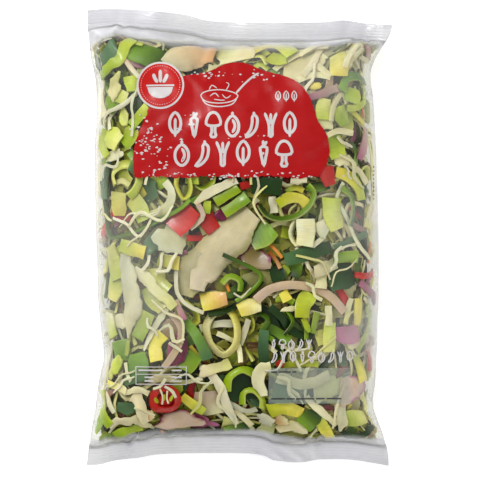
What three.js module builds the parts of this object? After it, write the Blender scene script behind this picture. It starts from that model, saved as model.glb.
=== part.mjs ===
// A clear pillow bag of cut stir-fry vegetables, lying on its back with its printed face up.
//
// The bag is one tube of film, welded flat across both ends and filled in between, so it is one
// solid. Every cross-section of it, from the flat end seals to the full middle, has the same
// length of film around it. The vegetables press lumps into the upper film, the film gathers into
// pleats behind the seals, and the underside lies flat on the table.
//
// Units are millimetres. +X is the bag's right and +Y its top, as it is read from above, and +Z is
// up. The origin is on the table under the middle of the bag.
import * as THREE from "three";

// Driving dimensions
const FILM_WIDTH = 200; // the flattened tube, which the end seals keep
const BAG_LENGTH = 300; // over the corners of both end seals
const FILLED_WIDTH = 184; // the full middle is narrower, because the film goes over the filling
const FILLED_HEIGHT = 41;
const SEAL_DEPTH = 10; // the welded band at each end
const SEAL_THICKNESS = 1; // two films, with the ribs that the jaws press into them
const SIDE_HEIGHT = 10; // the widest point of the middle section over the table

// Where each seal's inner line runs: the middle of the bag is pulled in, the corners stay out
const SEAL_LINE_HEIGHT = { middle: 11, corner: 14 };
const TOP_LINE = 131.5; // the top seal's inner line, right of the step
const TOP_STEP = { rise: 7.5, from: -18, to: -55 }; // the left part of the top seal is less pulled in
const BOTTOM_LINE = 131.5;
const BOTTOM_CORNER_REACH = 7.5;
const BOTTOM_SAG = { at: 42, width: 14, reach: 3 }; // the seal sags out where it is creased

// The film's waist: dents in the sides where the filling ends or thins out
const PINCHES = [
  { side: 1, y: 106, depth: 4.5, reach: 17 },
  { side: 1, y: -104, depth: 3.5, reach: 14 },
  { side: -1, y: -76, depth: 5.5, reach: 21 },
  { side: -1, y: 88, depth: 1.5, reach: 16 },
];

// Pleats run back from the seals: where each meets its seal, how far it leans, and its size
const PLEATS = [
  { end: 1, x: -84, lean: 0.5, depth: 2.2 },
  { end: 1, x: -26, lean: 0.1, depth: 3.2 },
  { end: 1, x: 30, lean: -0.2, depth: 1.8 },
  { end: 1, x: 74, lean: -0.5, depth: 3.2 },
  { end: -1, x: -78, lean: 0.5, depth: 2.6 },
  { end: -1, x: -44, lean: 0.3, depth: 3.0 },
  { end: -1, x: 4, lean: 0.1, depth: 1.6 },
  { end: -1, x: 52, lean: -0.3, depth: 2.8 },
  { end: -1, x: 82, lean: -0.6, depth: 2.2 },
];
const PLEAT_LENGTH = 38;
const PLEAT_WIDTH = 6;

// Lumps of the vegetables under the film
const LUMP_COUNT = 230;
const LUMP_HEIGHT = [0.6, 2.2];
const LUMP_RADIUS = [7, 13];
const LUMP_EDGE = 0.86; // they stop this far along the body, where the filling ends

// The seals' free edges wave up and down
const SEAL_WAVES = [
  { length: 67, height: 1.6, phase: 0.6 },
  { length: 29, height: 0.7, phase: 2.1 },
];
const SEAL_DROOP = 2.5;
const CORNER_LIFT = 2;

// Mesh
const SEGMENTS_AROUND = 80;
const BODY_RINGS = 60;
const SEAL_RINGS = 3;
const SECTION_SAMPLES = 90;

const clamp = THREE.MathUtils.clamp;
const smoothstep = (x, from, to) => {
  const t = clamp((x - from) / (to - from), 0, 1);
  return t * t * (3 - 2 * t);
};
const bell = (distance) => Math.exp(-distance * distance);

// A small repeatable random source, so that every run makes the same bag
function seededRandom(seed) {
  let state = seed;
  return () => {
    state = (state * 1664525 + 1013904223) % 4294967296;
    return state / 4294967296;
  };
}

// How far each seal's inner line lies from the middle of the bag, at x
function sealLine(end, x) {
  if (end > 0) {
    return TOP_LINE + TOP_STEP.rise * smoothstep(x, TOP_STEP.from, TOP_STEP.to);
  }
  const corner = BOTTOM_CORNER_REACH * Math.abs(x / (FILM_WIDTH / 2)) ** 2.5;
  const sag = BOTTOM_SAG.reach * bell((x - BOTTOM_SAG.at) / BOTTOM_SAG.width);
  return BOTTOM_LINE + corner + sag;
}

// The section's half width at v, from -1 at the bottom seal to 1 at the top one, on one side
function halfWidth(v, side) {
  const full = FILLED_WIDTH / 2;
  const flared = full + (FILM_WIDTH / 2 - full) * Math.abs(v) ** 5;
  const y = v * TOP_LINE;
  const pinch = PINCHES.filter((p) => p.side === side).reduce(
    (sum, p) => sum + p.depth * bell((y - p.y) / p.reach),
    0,
  );
  return flared - pinch;
}

// The seam's height: where the upper and the lower film meet at the side, and at the seals
function seamHeight(v, x) {
  const corner = Math.abs(x / (FILM_WIDTH / 2)) ** 4;
  const seal =
    SEAL_LINE_HEIGHT.middle +
    (SEAL_LINE_HEIGHT.corner - SEAL_LINE_HEIGHT.middle) * corner;
  return THREE.MathUtils.lerp(SIDE_HEIGHT, seal, Math.abs(v) ** 4);
}

// One film's height over or under the seam, as a share across the section and along the bag
const swell = (v, across, along, bulge) =>
  (1 - Math.abs(across) ** along) ** (1 / along) *
  (1 - Math.abs(v) ** bulge.power) ** bulge.root;
const UPPER = { power: 3.2, root: 0.52 };
const LOWER = { power: 9, root: 0.5 };

// A point of the smooth section at v: upper or lower film, at a share across from -1 to 1
function sectionPoint(v, across, upper) {
  const side = Math.sign(across) || 1;
  const x = across * halfWidth(v, side);
  const seam = seamHeight(v, x);
  const half = SEAL_THICKNESS / 2;
  if (upper) {
    const roundness = 2 + 2 * Math.abs(v) ** 4;
    const height = (FILLED_HEIGHT - SIDE_HEIGHT - half) * swell(v, across, roundness, UPPER);
    return { x, z: seam + half + height };
  }
  const depth = (seam + 1) * swell(v, across, 7, LOWER);
  return { x, z: seam - half - depth };
}

// One film of a section, as points spaced evenly along the film from its right edge to its left
function filmPoints(v, upper, count) {
  const fine = [];
  for (let i = 0; i <= SECTION_SAMPLES; i++) {
    const angle = (Math.PI * i) / SECTION_SAMPLES;
    const p = sectionPoint(v, Math.cos(angle), upper);
    fine.push(new THREE.Vector2(p.x, p.z));
  }
  const lengths = [0];
  for (let i = 1; i < fine.length; i++) {
    lengths.push(lengths[i - 1] + fine[i].distanceTo(fine[i - 1]));
  }
  const total = lengths[lengths.length - 1];
  const points = [];
  let k = 1;
  for (let i = 0; i <= count; i++) {
    const wanted = (total * i) / count;
    while (k < fine.length - 1 && lengths[k] < wanted) k++;
    const share = (wanted - lengths[k - 1]) / (lengths[k] - lengths[k - 1]);
    points.push(fine[k - 1].clone().lerp(fine[k], share));
  }
  return points;
}

// The lumps, scattered over the upper film by a fixed draw
const random = seededRandom(7);
const between = ([low, high], share) => low + (high - low) * share;
const lumps = Array.from({ length: LUMP_COUNT }, () => ({
  x: (random() - 0.5) * FILLED_WIDTH,
  y: (random() - 0.5) * 2 * LUMP_EDGE * TOP_LINE,
  height: between(LUMP_HEIGHT, random()),
  radius: between(LUMP_RADIUS, random()),
}));

// The highest lump at a place counts, as the film spans from one piece to the next
function lumpHeight(x, y) {
  return lumps.reduce((highest, lump) => {
    const distance = Math.hypot(x - lump.x, y - lump.y) / lump.radius;
    return distance > 2 ? highest : Math.max(highest, lump.height * bell(distance));
  }, 0);
}

// How deep the pleats cut in at a place, counted from the seal at that end of the bag
function pleatDepth(v, x, y) {
  const end = v > 0 ? 1 : -1;
  const inward = sealLine(end, x) - Math.abs(y);
  if (inward > PLEAT_LENGTH || inward < 0) return 0;
  const along = Math.sin((Math.PI * (inward + 3)) / (PLEAT_LENGTH + 3));
  return PLEATS.filter((p) => p.end === end).reduce((sum, p) => {
    const ridge = p.x + p.lean * inward;
    return sum + p.depth * along * bell((x - ridge) / PLEAT_WIDTH);
  }, 0);
}

// Lumps stand out of the upper film and pleats cut into it, along the film's own normal
function relieve(points, v) {
  return points.map((p, i) => {
    const before = points[Math.max(i - 1, 0)];
    const after = points[Math.min(i + 1, points.length - 1)];
    const normal = new THREE.Vector2(after.y - before.y, before.x - after.x).normalize();
    const y = v * sealLine(v > 0 ? 1 : -1, p.x);
    const relief = lumpHeight(p.x, y) * smoothstep(Math.abs(v), 0.97, 0.8) - pleatDepth(v, p.x, y);
    const free = Math.sin((Math.PI * i) / (points.length - 1)) ** 0.5;
    return p.clone().addScaledVector(normal, relief * free);
  });
}

// A ring of the body at v, from the right edge over the top to the left edge and back under
function bodyRing(v) {
  const half = SEGMENTS_AROUND / 2;
  const upper = relieve(filmPoints(v, true, half), v);
  const lower = filmPoints(v, false, half).reverse();
  const around = [...upper.slice(0, half), ...lower.slice(0, half)];
  return around.map((p) => {
    const y = v * sealLine(v > 0 ? 1 : -1, p.x);
    return new THREE.Vector3(p.x, y, Math.max(p.y, 0));
  });
}

// The seal's free edge waves, droops and lifts at its corners
function sealWave(end, x, share) {
  const wave = SEAL_WAVES.reduce(
    (sum, w) => sum + w.height * Math.sin((2 * Math.PI * x) / w.length + w.phase * (2 + end)),
    0,
  );
  const corner = CORNER_LIFT * Math.abs(x / (FILM_WIDTH / 2)) ** 6;
  return share * (wave + corner) - SEAL_DROOP * share * share;
}

// A ring of the flat seal, at a share of its depth from the inner line to the free edge
function sealRing(end, share) {
  const outward = share * (end > 0 ? SEAL_DEPTH : SEAL_DEPTH + 1);
  return bodyRing(end).map((p) => {
    const y = end * (sealLine(end, p.x) + outward);
    return new THREE.Vector3(p.x, y, p.z + sealWave(end, p.x, share));
  });
}

// Rings crowd towards the seals, where the film turns fastest
function bodyStations() {
  return Array.from({ length: BODY_RINGS + 1 }, (_, i) => {
    const t = (2 * i) / BODY_RINGS - 1;
    return Math.sign(t) * (1 - (1 - Math.abs(t)) ** 1.35);
  });
}

// Skins a stack of equal rings and closes both end faces
function skin(rings) {
  const around = rings[0].length;
  const half = around / 2;
  const index = [];
  const quad = (a, b, c, d) => index.push(a, b, c, a, c, d);
  for (let j = 0; j < rings.length - 1; j++) {
    for (let i = 0; i < around; i++) {
      const next = (i + 1) % around;
      quad(j * around + i, (j + 1) * around + i, (j + 1) * around + next, j * around + next);
    }
  }
  const closeEnd = (first, facing) => {
    for (let i = 0; i < half; i++) {
      const upper = [first + i, first + i + 1];
      const lower = [first + ((around - i) % around), first + around - i - 1];
      const face = [upper[0], upper[1], lower[1], lower[0]];
      if (facing > 0) face.reverse();
      for (const k of [1, 2]) {
        const triangle = [face[0], face[k], face[k + 1]];
        if (new Set(triangle).size === 3) index.push(...triangle);
      }
    }
  };
  closeEnd(0, -1);
  closeEnd((rings.length - 1) * around, 1);
  const geometry = new THREE.BufferGeometry().setFromPoints(rings.flat());
  geometry.setIndex(index);
  geometry.computeVertexNormals();
  return geometry;
}

function bagGeometry() {
  const shares = Array.from({ length: SEAL_RINGS }, (_, i) => (i + 1) / SEAL_RINGS);
  return skin([
    ...[...shares].reverse().map((share) => sealRing(-1, share)),
    ...bodyStations().map(bodyRing),
    ...shares.map((share) => sealRing(1, share)),
  ]);
}

// The printed film and the greens behind it, seen together from a step away
const filledFilm = new THREE.MeshStandardMaterial({
  color: 0xa9bd83,
  roughness: 0.22,
  metalness: 0,
});

const bag = new THREE.Mesh(bagGeometry(), filledFilm);
bag.name = "bag";

// The stated length runs over the seals' corners, and the origin is midway between them
const box = new THREE.Box3().setFromObject(bag);
const size = box.getSize(new THREE.Vector3());
bag.geometry.translate(-(box.min.x + box.max.x) / 2, -(box.min.y + box.max.y) / 2, 0);
bag.geometry.scale(FILM_WIDTH / size.x, BAG_LENGTH / size.y, 1);

const group = new THREE.Group();
group.add(bag);

export default group;
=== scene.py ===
"""A clear pillow bag of cut stir-fry vegetables, lying on its back and seen from above.

The film is a welded tube that a cloth simulation fills. Unrolled, it is a plane: s runs round the
tube in millimetres from the middle of the printed side, t runs along it, and h is the depth under
it. The vegetables are laid in that space, from the film inwards, each bent under what already
lies there, and then the film is drawn down over their tops.
"""
import functools
import math

import bmesh
import bpy
import numpy as np
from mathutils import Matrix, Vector, kdtree
from mathutils.bvhtree import BVHTree


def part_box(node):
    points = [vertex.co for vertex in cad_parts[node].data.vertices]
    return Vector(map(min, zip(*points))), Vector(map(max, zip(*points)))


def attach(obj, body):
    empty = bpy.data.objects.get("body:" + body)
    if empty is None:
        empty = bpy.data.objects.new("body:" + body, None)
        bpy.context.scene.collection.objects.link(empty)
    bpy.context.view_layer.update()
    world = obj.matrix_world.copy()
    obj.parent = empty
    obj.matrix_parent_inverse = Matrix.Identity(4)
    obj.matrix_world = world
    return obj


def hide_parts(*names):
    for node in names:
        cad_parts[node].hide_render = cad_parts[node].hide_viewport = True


bl_info = {
    "name": "Stir-fry Vegetable Bag",
    "version": (1, 0, 0),
    "blender": (4, 5, 0),
    "location": "3D View > Sidebar > Veg Bag",
    "description": "Builds a clear printed bag of cut stir-fry vegetables",
    "category": "Object",
}

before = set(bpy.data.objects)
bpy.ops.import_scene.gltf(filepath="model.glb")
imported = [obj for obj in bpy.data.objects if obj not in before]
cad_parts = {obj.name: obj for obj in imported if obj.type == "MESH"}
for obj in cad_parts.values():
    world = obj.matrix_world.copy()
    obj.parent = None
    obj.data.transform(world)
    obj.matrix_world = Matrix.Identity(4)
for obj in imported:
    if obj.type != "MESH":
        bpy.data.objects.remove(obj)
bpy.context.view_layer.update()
BAG_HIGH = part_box("bag")[1]

MM = 0.001
PHOTO_SIZE = 480
PHOTO_MIDDLE = (236, 237)  # the pixel over the middle of the bag
PIXEL = 0.652  # mm on the bag for each pixel

# The bag's outline in the photograph: rows and columns down its sides, columns and rows along
# the free edges of its seals
LEFT_EDGE = ((6, 87), (30, 87.5), (44, 89), (60, 91), (80, 95), (120, 96), (150, 94), (200, 94.5),
             (260, 96), (300, 97.5), (336, 101), (358, 103), (378, 99), (400, 96), (420, 93),
             (440, 89.5), (468, 86))
RIGHT_EDGE = ((6, 395), (24, 393), (36, 389), (48, 382), (60, 375), (76, 371), (100, 374),
              (140, 376), (200, 378), (260, 379.5), (330, 378), (384, 375.5), (396, 373.5),
              (410, 374), (420, 378), (440, 385), (456, 388.5), (468, 389))
TOP_EDGE = ((84, 10), (112, 8), (148, 10), (184, 14), (208, 20), (256, 22), (316, 21.5),
            (340, 19.5), (364, 23), (396, 25))
BOTTOM_EDGE = ((84, 466), (100, 465), (116, 461), (140, 458), (164, 454.5), (236, 453.5),
               (262, 456), (274, 461), (300, 463), (318, 460), (348, 460), (372, 463.5),
               (392, 467))
EDGE_POINTS = 90  # on the smooth curve through each of those


def in_mm(px, py):
    """A place in the photograph, as millimetres from the middle of the bag."""
    return (px - PHOTO_MIDDLE[0]) * PIXEL, (PHOTO_MIDDLE[1] - py) * PIXEL


# ---------------------------------------------------------------------------------------------
# What a user would change


def linear(rgb):
    """A colour as the shaders want it, from the 0 to 255 that a screen shows."""
    share = [c / 255 for c in rgb]
    return [c / 12.92 if c <= 0.04045 else ((c + 0.055) / 1.055) ** 2.4 for c in share]


def colour(name, description, rgb):
    return bpy.props.FloatVectorProperty(
        name=name, description=description, default=linear(rgb), size=3, min=0, max=1,
        subtype="COLOR",
    )


def length(name, description, default):
    return bpy.props.FloatProperty(
        name=name, description=description, default=default, min=0, subtype="DISTANCE",
        unit="LENGTH",
    )


class BagSizes(bpy.types.PropertyGroup):
    """Real sizes of the bag, in metres."""

    flat_width: length("Flat width", "Width of the flattened film tube", 0.2)
    flat_length: length("Flat length", "Length of film between the two seals", 0.283)
    seal_depth: length("Seal depth", "How far each crimped seal reaches", 0.0105)
    fold_radius: length("Fold radius", "How softly the film spans from piece to piece", 0.022)
    fill_depth: length("Fill depth", "How deep under the film vegetables are laid", 0.0115)
    filling: bpy.props.FloatProperty(
        name="Filling", description="Litres inside the bag", default=1.35, min=0.5, max=2
    )
    pieces: bpy.props.IntProperty(
        name="Loose pieces", description="Scattered pieces tried under the laid ones",
        default=3400, min=0,
    )


class BagColours(bpy.types.PropertyGroup):
    """Colours of the vegetables and of the print."""

    pale: colour("Pale leek", "Leek near its white end", (232, 230, 138))
    lime: colour("Lime leek", "Young inner leek", (200, 214, 74))
    bright: colour("Bright leek", "Fresh green leek", (152, 182, 14))
    green: colour("Green leek", "Outer leek", (130, 172, 36))
    dark: colour("Dark leek", "Leek leaf", (24, 58, 3))
    blue: colour("Blue leek", "Waxy outside of a leek leaf", (80, 117, 76))
    yellow: colour("Yellow leek", "Yellowest leek heart", (246, 228, 92))
    olive: colour("Olive leek", "Yellow-green in shade", (178, 186, 16))
    cream: colour("Cream cabbage", "White cabbage", (242, 233, 187))
    white: colour("White cabbage", "Whitest cabbage rib", (238, 234, 200))
    flesh: colour("Onion flesh", "Inside of a red onion", (212, 186, 166))
    skin: colour("Onion skin", "Skin of a red onion", (184, 110, 148))
    magenta: colour("Deep onion", "Dark skin of a red onion", (122, 12, 70))
    red: colour("Pepper", "Red pepper and chilli", (206, 32, 20))
    fungus: colour("Mushroom", "Oyster mushroom", (226, 212, 182))
    peach: colour("Peach", "Blush on the mushrooms", (226, 170, 112))
    orange: colour("Carrot", "Carrot slivers", (226, 140, 40))
    deep: colour("Deep shade", "The mix deep inside the bag", (48, 50, 8))
    ink: colour("Red ink", "The printed field", (178, 8, 12))
    badge: colour("Badge ink", "The round badge", (198, 24, 20))
    paper: colour("White ink", "White print", (211, 206, 204))
    panel: colour("Panel", "The see-through field for the date", (186, 198, 186))


# ---------------------------------------------------------------------------------------------
# Materials


class Value:
    """A socket, so that sums on what a material varies read as plain sums."""

    def __init__(self, finish, socket):
        self.finish = finish
        self.socket = socket

    def math(self, operation, first, second):
        inputs = {0: first, 1: second}
        return self.finish.node("ShaderNodeMath", inputs, operation=operation)

    def __add__(self, other):
        return self.math("ADD", self, other)

    __radd__ = __add__

    def __sub__(self, other):
        return self.math("SUBTRACT", self, other)

    def __rsub__(self, other):
        return self.math("SUBTRACT", other, self)

    def __mul__(self, other):
        return self.math("MULTIPLY", self, other)

    __rmul__ = __mul__

    def __truediv__(self, other):
        return self.math("DIVIDE", self, other)

    def held(self):
        """Kept between 0 and 1."""
        return self.finish.node("ShaderNodeClamp", {"Value": self})

    def step(self, low, high):
        """0 at low, 1 at high, smooth between."""
        inputs = {"Value": self, "From Min": low, "From Max": high}
        return self.finish.node(
            "ShaderNodeMapRange", inputs, interpolation_type="SMOOTHSTEP", clamp=True
        )


class Finish:
    """One material and its nodes."""

    def __init__(self, name):
        self.material = bpy.data.materials.new(name)
        self.material.use_nodes = True
        self.tree = self.material.node_tree
        self.tree.nodes.clear()

    def node(self, kind, inputs=None, output=0, **settings):
        """Adds a node and gives one of its outputs."""
        made = self.tree.nodes.new(kind)
        for name, value in settings.items():
            setattr(made, name, value)
        for name, value in (inputs or {}).items():
            if isinstance(value, Value):
                self.tree.links.new(value.socket, made.inputs[name])
            else:
                made.inputs[name].default_value = value
        return Value(self, made.outputs[output])

    def attribute(self, name, output):
        return self.node(
            "ShaderNodeAttribute", output=output, attribute_type="GEOMETRY", attribute_name=name
        )

    def parts(self, vector):
        split = self.node("ShaderNodeSeparateXYZ", {0: vector})
        return [Value(self, out) for out in split.socket.node.outputs]

    def place(self):
        return self.node("ShaderNodeTexCoord", output="Object")

    def noise(self, scale, vector, detail=3.0, roughness=0.55, distortion=0.0):
        inputs = {
            "Vector": vector, "Scale": scale, "Detail": detail, "Roughness": roughness,
            "Distortion": distortion,
        }
        return self.node("ShaderNodeTexNoise", inputs, output="Fac")

    def stretched(self, vector, scale):
        return self.node("ShaderNodeMapping", {"Vector": vector, "Scale": scale})

    def shaded(self, tint, share, warmth=0.0):
        """A colour times share, with less blue in it the warmer it is."""
        grey = self.node("ShaderNodeCombineColor", {0: share, 1: share, 2: share - warmth})
        inputs = {0: 1.0, 6: tint, 7: grey}
        return self.node(
            "ShaderNodeMix", inputs, output=2, data_type="RGBA", blend_type="MULTIPLY"
        )

    def mixed(self, share, first, second):
        inputs = {0: share, 6: first, 7: second}
        return self.node("ShaderNodeMix", inputs, output=2, data_type="RGBA")

    def bump(self, height, distance, strength=1.0):
        inputs = {"Height": height, "Distance": distance, "Strength": strength}
        return self.node("ShaderNodeBump", inputs)

    def principled(self, **inputs):
        named = {name.replace("_", " "): value for name, value in inputs.items()}
        return self.node("ShaderNodeBsdfPrincipled", named)

    def done(self, shader):
        end = self.tree.nodes.new("ShaderNodeOutputMaterial")
        self.tree.links.new(shader.socket, end.inputs["Surface"])
        return self.material


def rgba(values):
    return (*values, 1.0)


def vegetable_finish(name, veins=0.0, mottle=0.16, roughness=0.36, coat=0.2, fine=0.0,
                     scatter=0.12, warmth=0.7):
    """Moist cut vegetable: the piece's colours, with painted shade on those that lie deep, veins
    across its grain and soft mottling.
    """
    finish = Finish(name)
    tint = finish.attribute("tint", "Color")
    grain = finish.attribute("grain", "Vector")
    place = finish.place()
    blotch = finish.noise(140.0, place)
    patch = finish.noise(75.0, place, detail=2.0)
    speck = finish.noise(900.0, place, detail=2.0)
    vein = finish.noise(1.0, finish.stretched(grain, (1.5, 0.09, 0.1)), detail=2.0)
    thread = finish.noise(1.0, finish.stretched(grain, (0.3, 4.0, 1.0)), detail=4.0)
    share = 1.0 + (blotch - 0.5) * mottle * 2.2 + (speck - 0.5) * mottle * 0.5
    share = share + (vein - 0.5) * veins + (thread - 0.5) * fine
    height = vein * veins * 1.5 + thread * fine * 2.0 + blotch * 0.8
    surface = finish.principled(
        Base_Color=finish.shaded(tint, share, (patch - 0.4) * warmth),
        Roughness=roughness + (blotch - 0.5) * 0.25,
        Specular_IOR_Level=0.3,
        Coat_Weight=coat,
        Coat_Roughness=0.16,
        Subsurface_Weight=scatter,
        Subsurface_Radius=(1.0, 0.8, 0.5),
        Subsurface_Scale=0.0012,
        Normal=finish.bump(height, 0.0003),
    )
    return finish.done(surface)


def film_finish(name, pale, crimp):
    """Clear film: mostly see-through, whiter where it is hazy and where the lamps' glare is
    painted on it, greyer and glossier edge on. A crimped seal is milky all through, with fine
    lines along it."""
    finish = Finish(name)
    place = finish.place()
    veil = finish.attribute("veil", "Fac")
    cloud = finish.noise(16.0, place, detail=4.0).step(0.35, 0.75)
    streak = finish.noise(45.0, finish.stretched(place, (0.5, 1.6, 1.0)), detail=3.0,
                          distortion=0.3)
    ridge = finish.noise(190.0, finish.stretched(place, (1.0, 0.35, 1.0)), detail=2.0)
    haze_and_glare = veil * (0.65 + cloud * 0.7)
    height = streak * 0.8 + ridge * 0.35
    if crimp:
        across = finish.parts(place)[1]
        lines = finish.node("ShaderNodeMath", {0: across * (math.tau / 0.0017)},
                            operation="SINE")
        wander = finish.noise(90.0, finish.stretched(place, (0.2, 2.5, 1.0)), detail=3.0)
        haze_and_glare = haze_and_glare + (wander - 0.5) * veil * 0.35 + lines * 0.015
        height = height * 0.4 + lines * 0.1 + wander * 0.7
        tint = rgba(pale)
    else:
        facing = finish.node("ShaderNodeLayerWeight", {"Blend": 0.5}, output="Facing")
        rim = facing.step(0.45, 0.95)
        end = veil.step(0.3, 0.5)
        haze_and_glare = haze_and_glare + rim * 0.55 * (1.0 - end)
        tint = finish.mixed(rim, rgba(pale), (0.45, 0.45, 0.49, 1.0))
        tint = finish.mixed(end, tint, (0.7, 0.7, 0.73, 1.0))
    gloss = finish.principled(Base_Color=tint, Roughness=0.18,
                              Normal=finish.bump(height, 0.0006, 0.4))
    clear = finish.node("ShaderNodeBsdfTransparent", {"Color": (0.9, 0.9, 0.88, 1.0)})
    mix = finish.node("ShaderNodeMixShader", {0: haze_and_glare.held(), 1: clear, 2: gloss})
    return finish.done(mix)


def ink_finish(name, tint, wear_and_sheen=0.0, opacity=1.0):
    """Ink under a glossy film, laid a little unevenly, and paler along the film's folds, which is
    painted sheen.
    """
    finish = Finish(name)
    place = finish.place()
    cloud = finish.noise(22.0, place, detail=3.0)
    fold = finish.noise(70.0, finish.stretched(place, (0.6, 1.4, 1.0)), detail=3.0,
                        distortion=0.8)
    # Darker and lighter in clouds for uneven ink, and along the film's folds, which is painted
    # sheen
    share = 0.9 + (cloud - 0.5) * 0.35 + (fold - 0.5) * 0.15
    pale = finish.mixed(
        (cloud + fold * 0.5 - 0.25).step(0.3, 0.75) * wear_and_sheen, rgba(tint),
        rgba([c * 0.92 + 0.035 for c in tint]),
    )
    gloss = finish.principled(
        Base_Color=finish.shaded(pale, share),
        Roughness=0.35,
        Specular_IOR_Level=0.14,
        Coat_Weight=0.09,
        Coat_Roughness=0.14,
        Alpha=opacity,
        Normal=finish.bump(fold, 0.0006, 0.5),
    )
    return finish.done(gloss)


# ---------------------------------------------------------------------------------------------
# The film


def wrapped(s, girth):
    """A place round the tube, counted from its middle both ways."""
    return (s + girth / 2) % girth - girth / 2


def soft_step(x, low, high):
    share = np.clip((x - low) / (high - low), 0, 1)
    return share * share * (3 - 2 * share)


def bell(x):
    return np.exp(-x * x)


# The cloth simulation runs ten times larger, where its solver is steadier
SIM_SCALE = 10.0
SIM_STEP = 0.004
SIM_FRAMES = 55
FILM_CLOTH = {
    "quality": 6, "mass": 0.3, "air_damping": 3,
    "tension_stiffness": 80, "compression_stiffness": 80, "shear_stiffness": 40,
    "bending_stiffness": 0.3, "tension_damping": 10, "compression_damping": 10,
    "shear_damping": 5, "bending_damping": 0.5, "use_pressure": True,
    "uniform_pressure_force": 3.4, "use_pressure_volume": True, "pressure_factor": 1,
    "fluid_density": 0.3,
}
SIM_FLOOR_GAP = 0.0009  # how far above the floor the cloth comes to rest
UPPER_END_LEFT = 0.006  # how much further up the left of the upper end reaches
UPPER_END_RIGHT = 0.0065  # and how much less far its right does
FLAT_HEIGHT = 0.012  # where the empty tube lies before it is filled
FLAT_CROWN = 0.004  # and how far its two films already bulge


class Tube:
    """The film's tube as a grid: around from the left edge over the top, and along from below."""

    def __init__(self, sizes):
        self.width = sizes.flat_width
        self.length = sizes.flat_length
        self.around = 2 * round(self.width / SIM_STEP)
        self.along = round(self.length / SIM_STEP)
        self.filling = sizes.filling

    def flat(self, u, v):
        """A point of the empty tube: u from 0 to 2 round it and v from 0 to 1 along it."""
        upper = u <= 1
        x = self.width * (u - 0.5 if upper else 1.5 - u)
        left = UPPER_END_LEFT * (1 - soft_step(x, -0.045, -0.015))
        right = UPPER_END_RIGHT * soft_step(x, 0.02, 0.1)
        y = self.length * (v - 0.5) + (left - right) * v * v
        lift = FLAT_CROWN * math.sin(math.pi * (u % 1.0)) * math.sin(math.pi * v)
        return Vector((x, y, FLAT_HEIGHT + (lift if upper else -lift)))

    def empty_mesh(self):
        """The flattened tube, with both end rows welded shut, and each vertex's place in it."""
        mesh = bmesh.new()
        bmesh.ops.create_grid(mesh, x_segments=self.around, y_segments=self.along, size=0.5)
        place = mesh.verts.layers.float_vector.new("place")
        for vert in mesh.verts:
            u = (vert.co.x + 0.5) * 2
            v = vert.co.y + 0.5
            vert[place] = (u, v, 0)
            vert.co = self.flat(u, v) * SIM_SCALE
        bmesh.ops.remove_doubles(mesh, verts=mesh.verts, dist=1e-5)
        bmesh.ops.recalc_face_normals(mesh, faces=mesh.faces)
        if mesh.calc_volume(signed=True) < 0:
            bmesh.ops.reverse_faces(mesh, faces=mesh.faces)
        data = bpy.data.meshes.new("empty_tube")
        mesh.to_mesh(data)
        mesh.free()
        return data

    def fill(self):
        """Fills the tube on a floor and gives its grid of points, (around, along + 1, 3)."""
        data = self.empty_mesh()
        tube = bpy.data.objects.new("tube", data)
        bpy.context.collection.objects.link(tube)
        cloth = tube.modifiers.new("Cloth", "CLOTH")
        for name, value in FILM_CLOTH.items():
            setattr(cloth.settings, name, value)
        cloth.settings.target_volume = self.filling * MM * SIM_SCALE ** 3
        cloth.collision_settings.collision_quality = 3
        cloth.collision_settings.distance_min = 0.005
        bpy.ops.mesh.primitive_plane_add(size=20)
        ground = bpy.context.object
        ground.modifiers.new("Collision", "COLLISION")
        ground.collision.thickness_outer = 0.005
        ground.collision.cloth_friction = 5
        scene = bpy.context.scene
        cloth.point_cache.frame_start = scene.frame_start = 1
        cloth.point_cache.frame_end = scene.frame_end = SIM_FRAMES
        for number in range(1, SIM_FRAMES + 1):
            scene.frame_set(number)
        evaluated = tube.evaluated_get(bpy.context.evaluated_depsgraph_get())
        points = np.empty(len(data.vertices) * 3)
        evaluated.data.vertices.foreach_get("co", points)
        points = points.reshape(-1, 3) / SIM_SCALE
        place = np.empty(len(data.vertices) * 3)
        data.attributes["place"].data.foreach_get("vector", place)
        place = place.reshape(-1, 3)
        bpy.data.objects.remove(ground)
        bpy.data.objects.remove(tube)
        scene.frame_set(1)
        return self.on_grid(place, points)

    def on_grid(self, place, points):
        """The mesh's points, each at its own place in the grid."""
        grid = np.zeros((self.around, self.along + 1, 3))
        i = np.rint(place[:, 0] * self.around / 2).astype(int) % self.around
        j = np.rint(place[:, 1] * self.along).astype(int)
        grid[i, j] = points
        for end in (0, self.along):  # a welded vertex stands for both films
            for row in range(self.around):
                if not grid[row, end].any():
                    grid[row, end] = grid[-row % self.around, end]
        return grid


def cubic(values, times, loop):
    """Values on a grid that is finer along its first side, on a smooth curve through the old."""
    count = len(values)
    last = count if loop else count - 1
    spots = np.arange(last * times + (0 if loop else 1)) / times
    base = np.floor(spots).astype(int)
    share = (spots - base).reshape(-1, *[1] * (values.ndim - 1))

    def near(step):
        index = base + step
        return values[index % count] if loop else values[np.clip(index, 0, count - 1)]

    a, b, c, d = near(-1), near(0), near(1), near(2)
    return b + 0.5 * share * (
        c - a + share * (2 * a - 5 * b + 4 * c - d + share * (3 * (b - c) + d - a))
    )


@functools.lru_cache
def edge_curve(table):
    """A smooth curve through an edge's pixels, as two rows."""
    return smooth_path(table, EDGE_POINTS)[0].T


def side_edge(table, y):
    """Where a side of the bag lies, in mm, at places along it."""
    rows, columns = edge_curve(table)
    x, height = in_mm(columns, rows)
    return np.interp(-np.asarray(y), -height, x)


def end_edge(table, x):
    """Where the free edge of a seal lies, in mm, at places across the bag."""
    return np.interp(x, *in_mm(*edge_curve(table)))


def fitted(x, y, low, high):
    """Spreads places between low and high over the bag's width at y."""
    left, right = side_edge(LEFT_EDGE, y), side_edge(RIGHT_EDGE, y)
    return left + (x - low) / (high - low) * (right - left)


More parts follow.
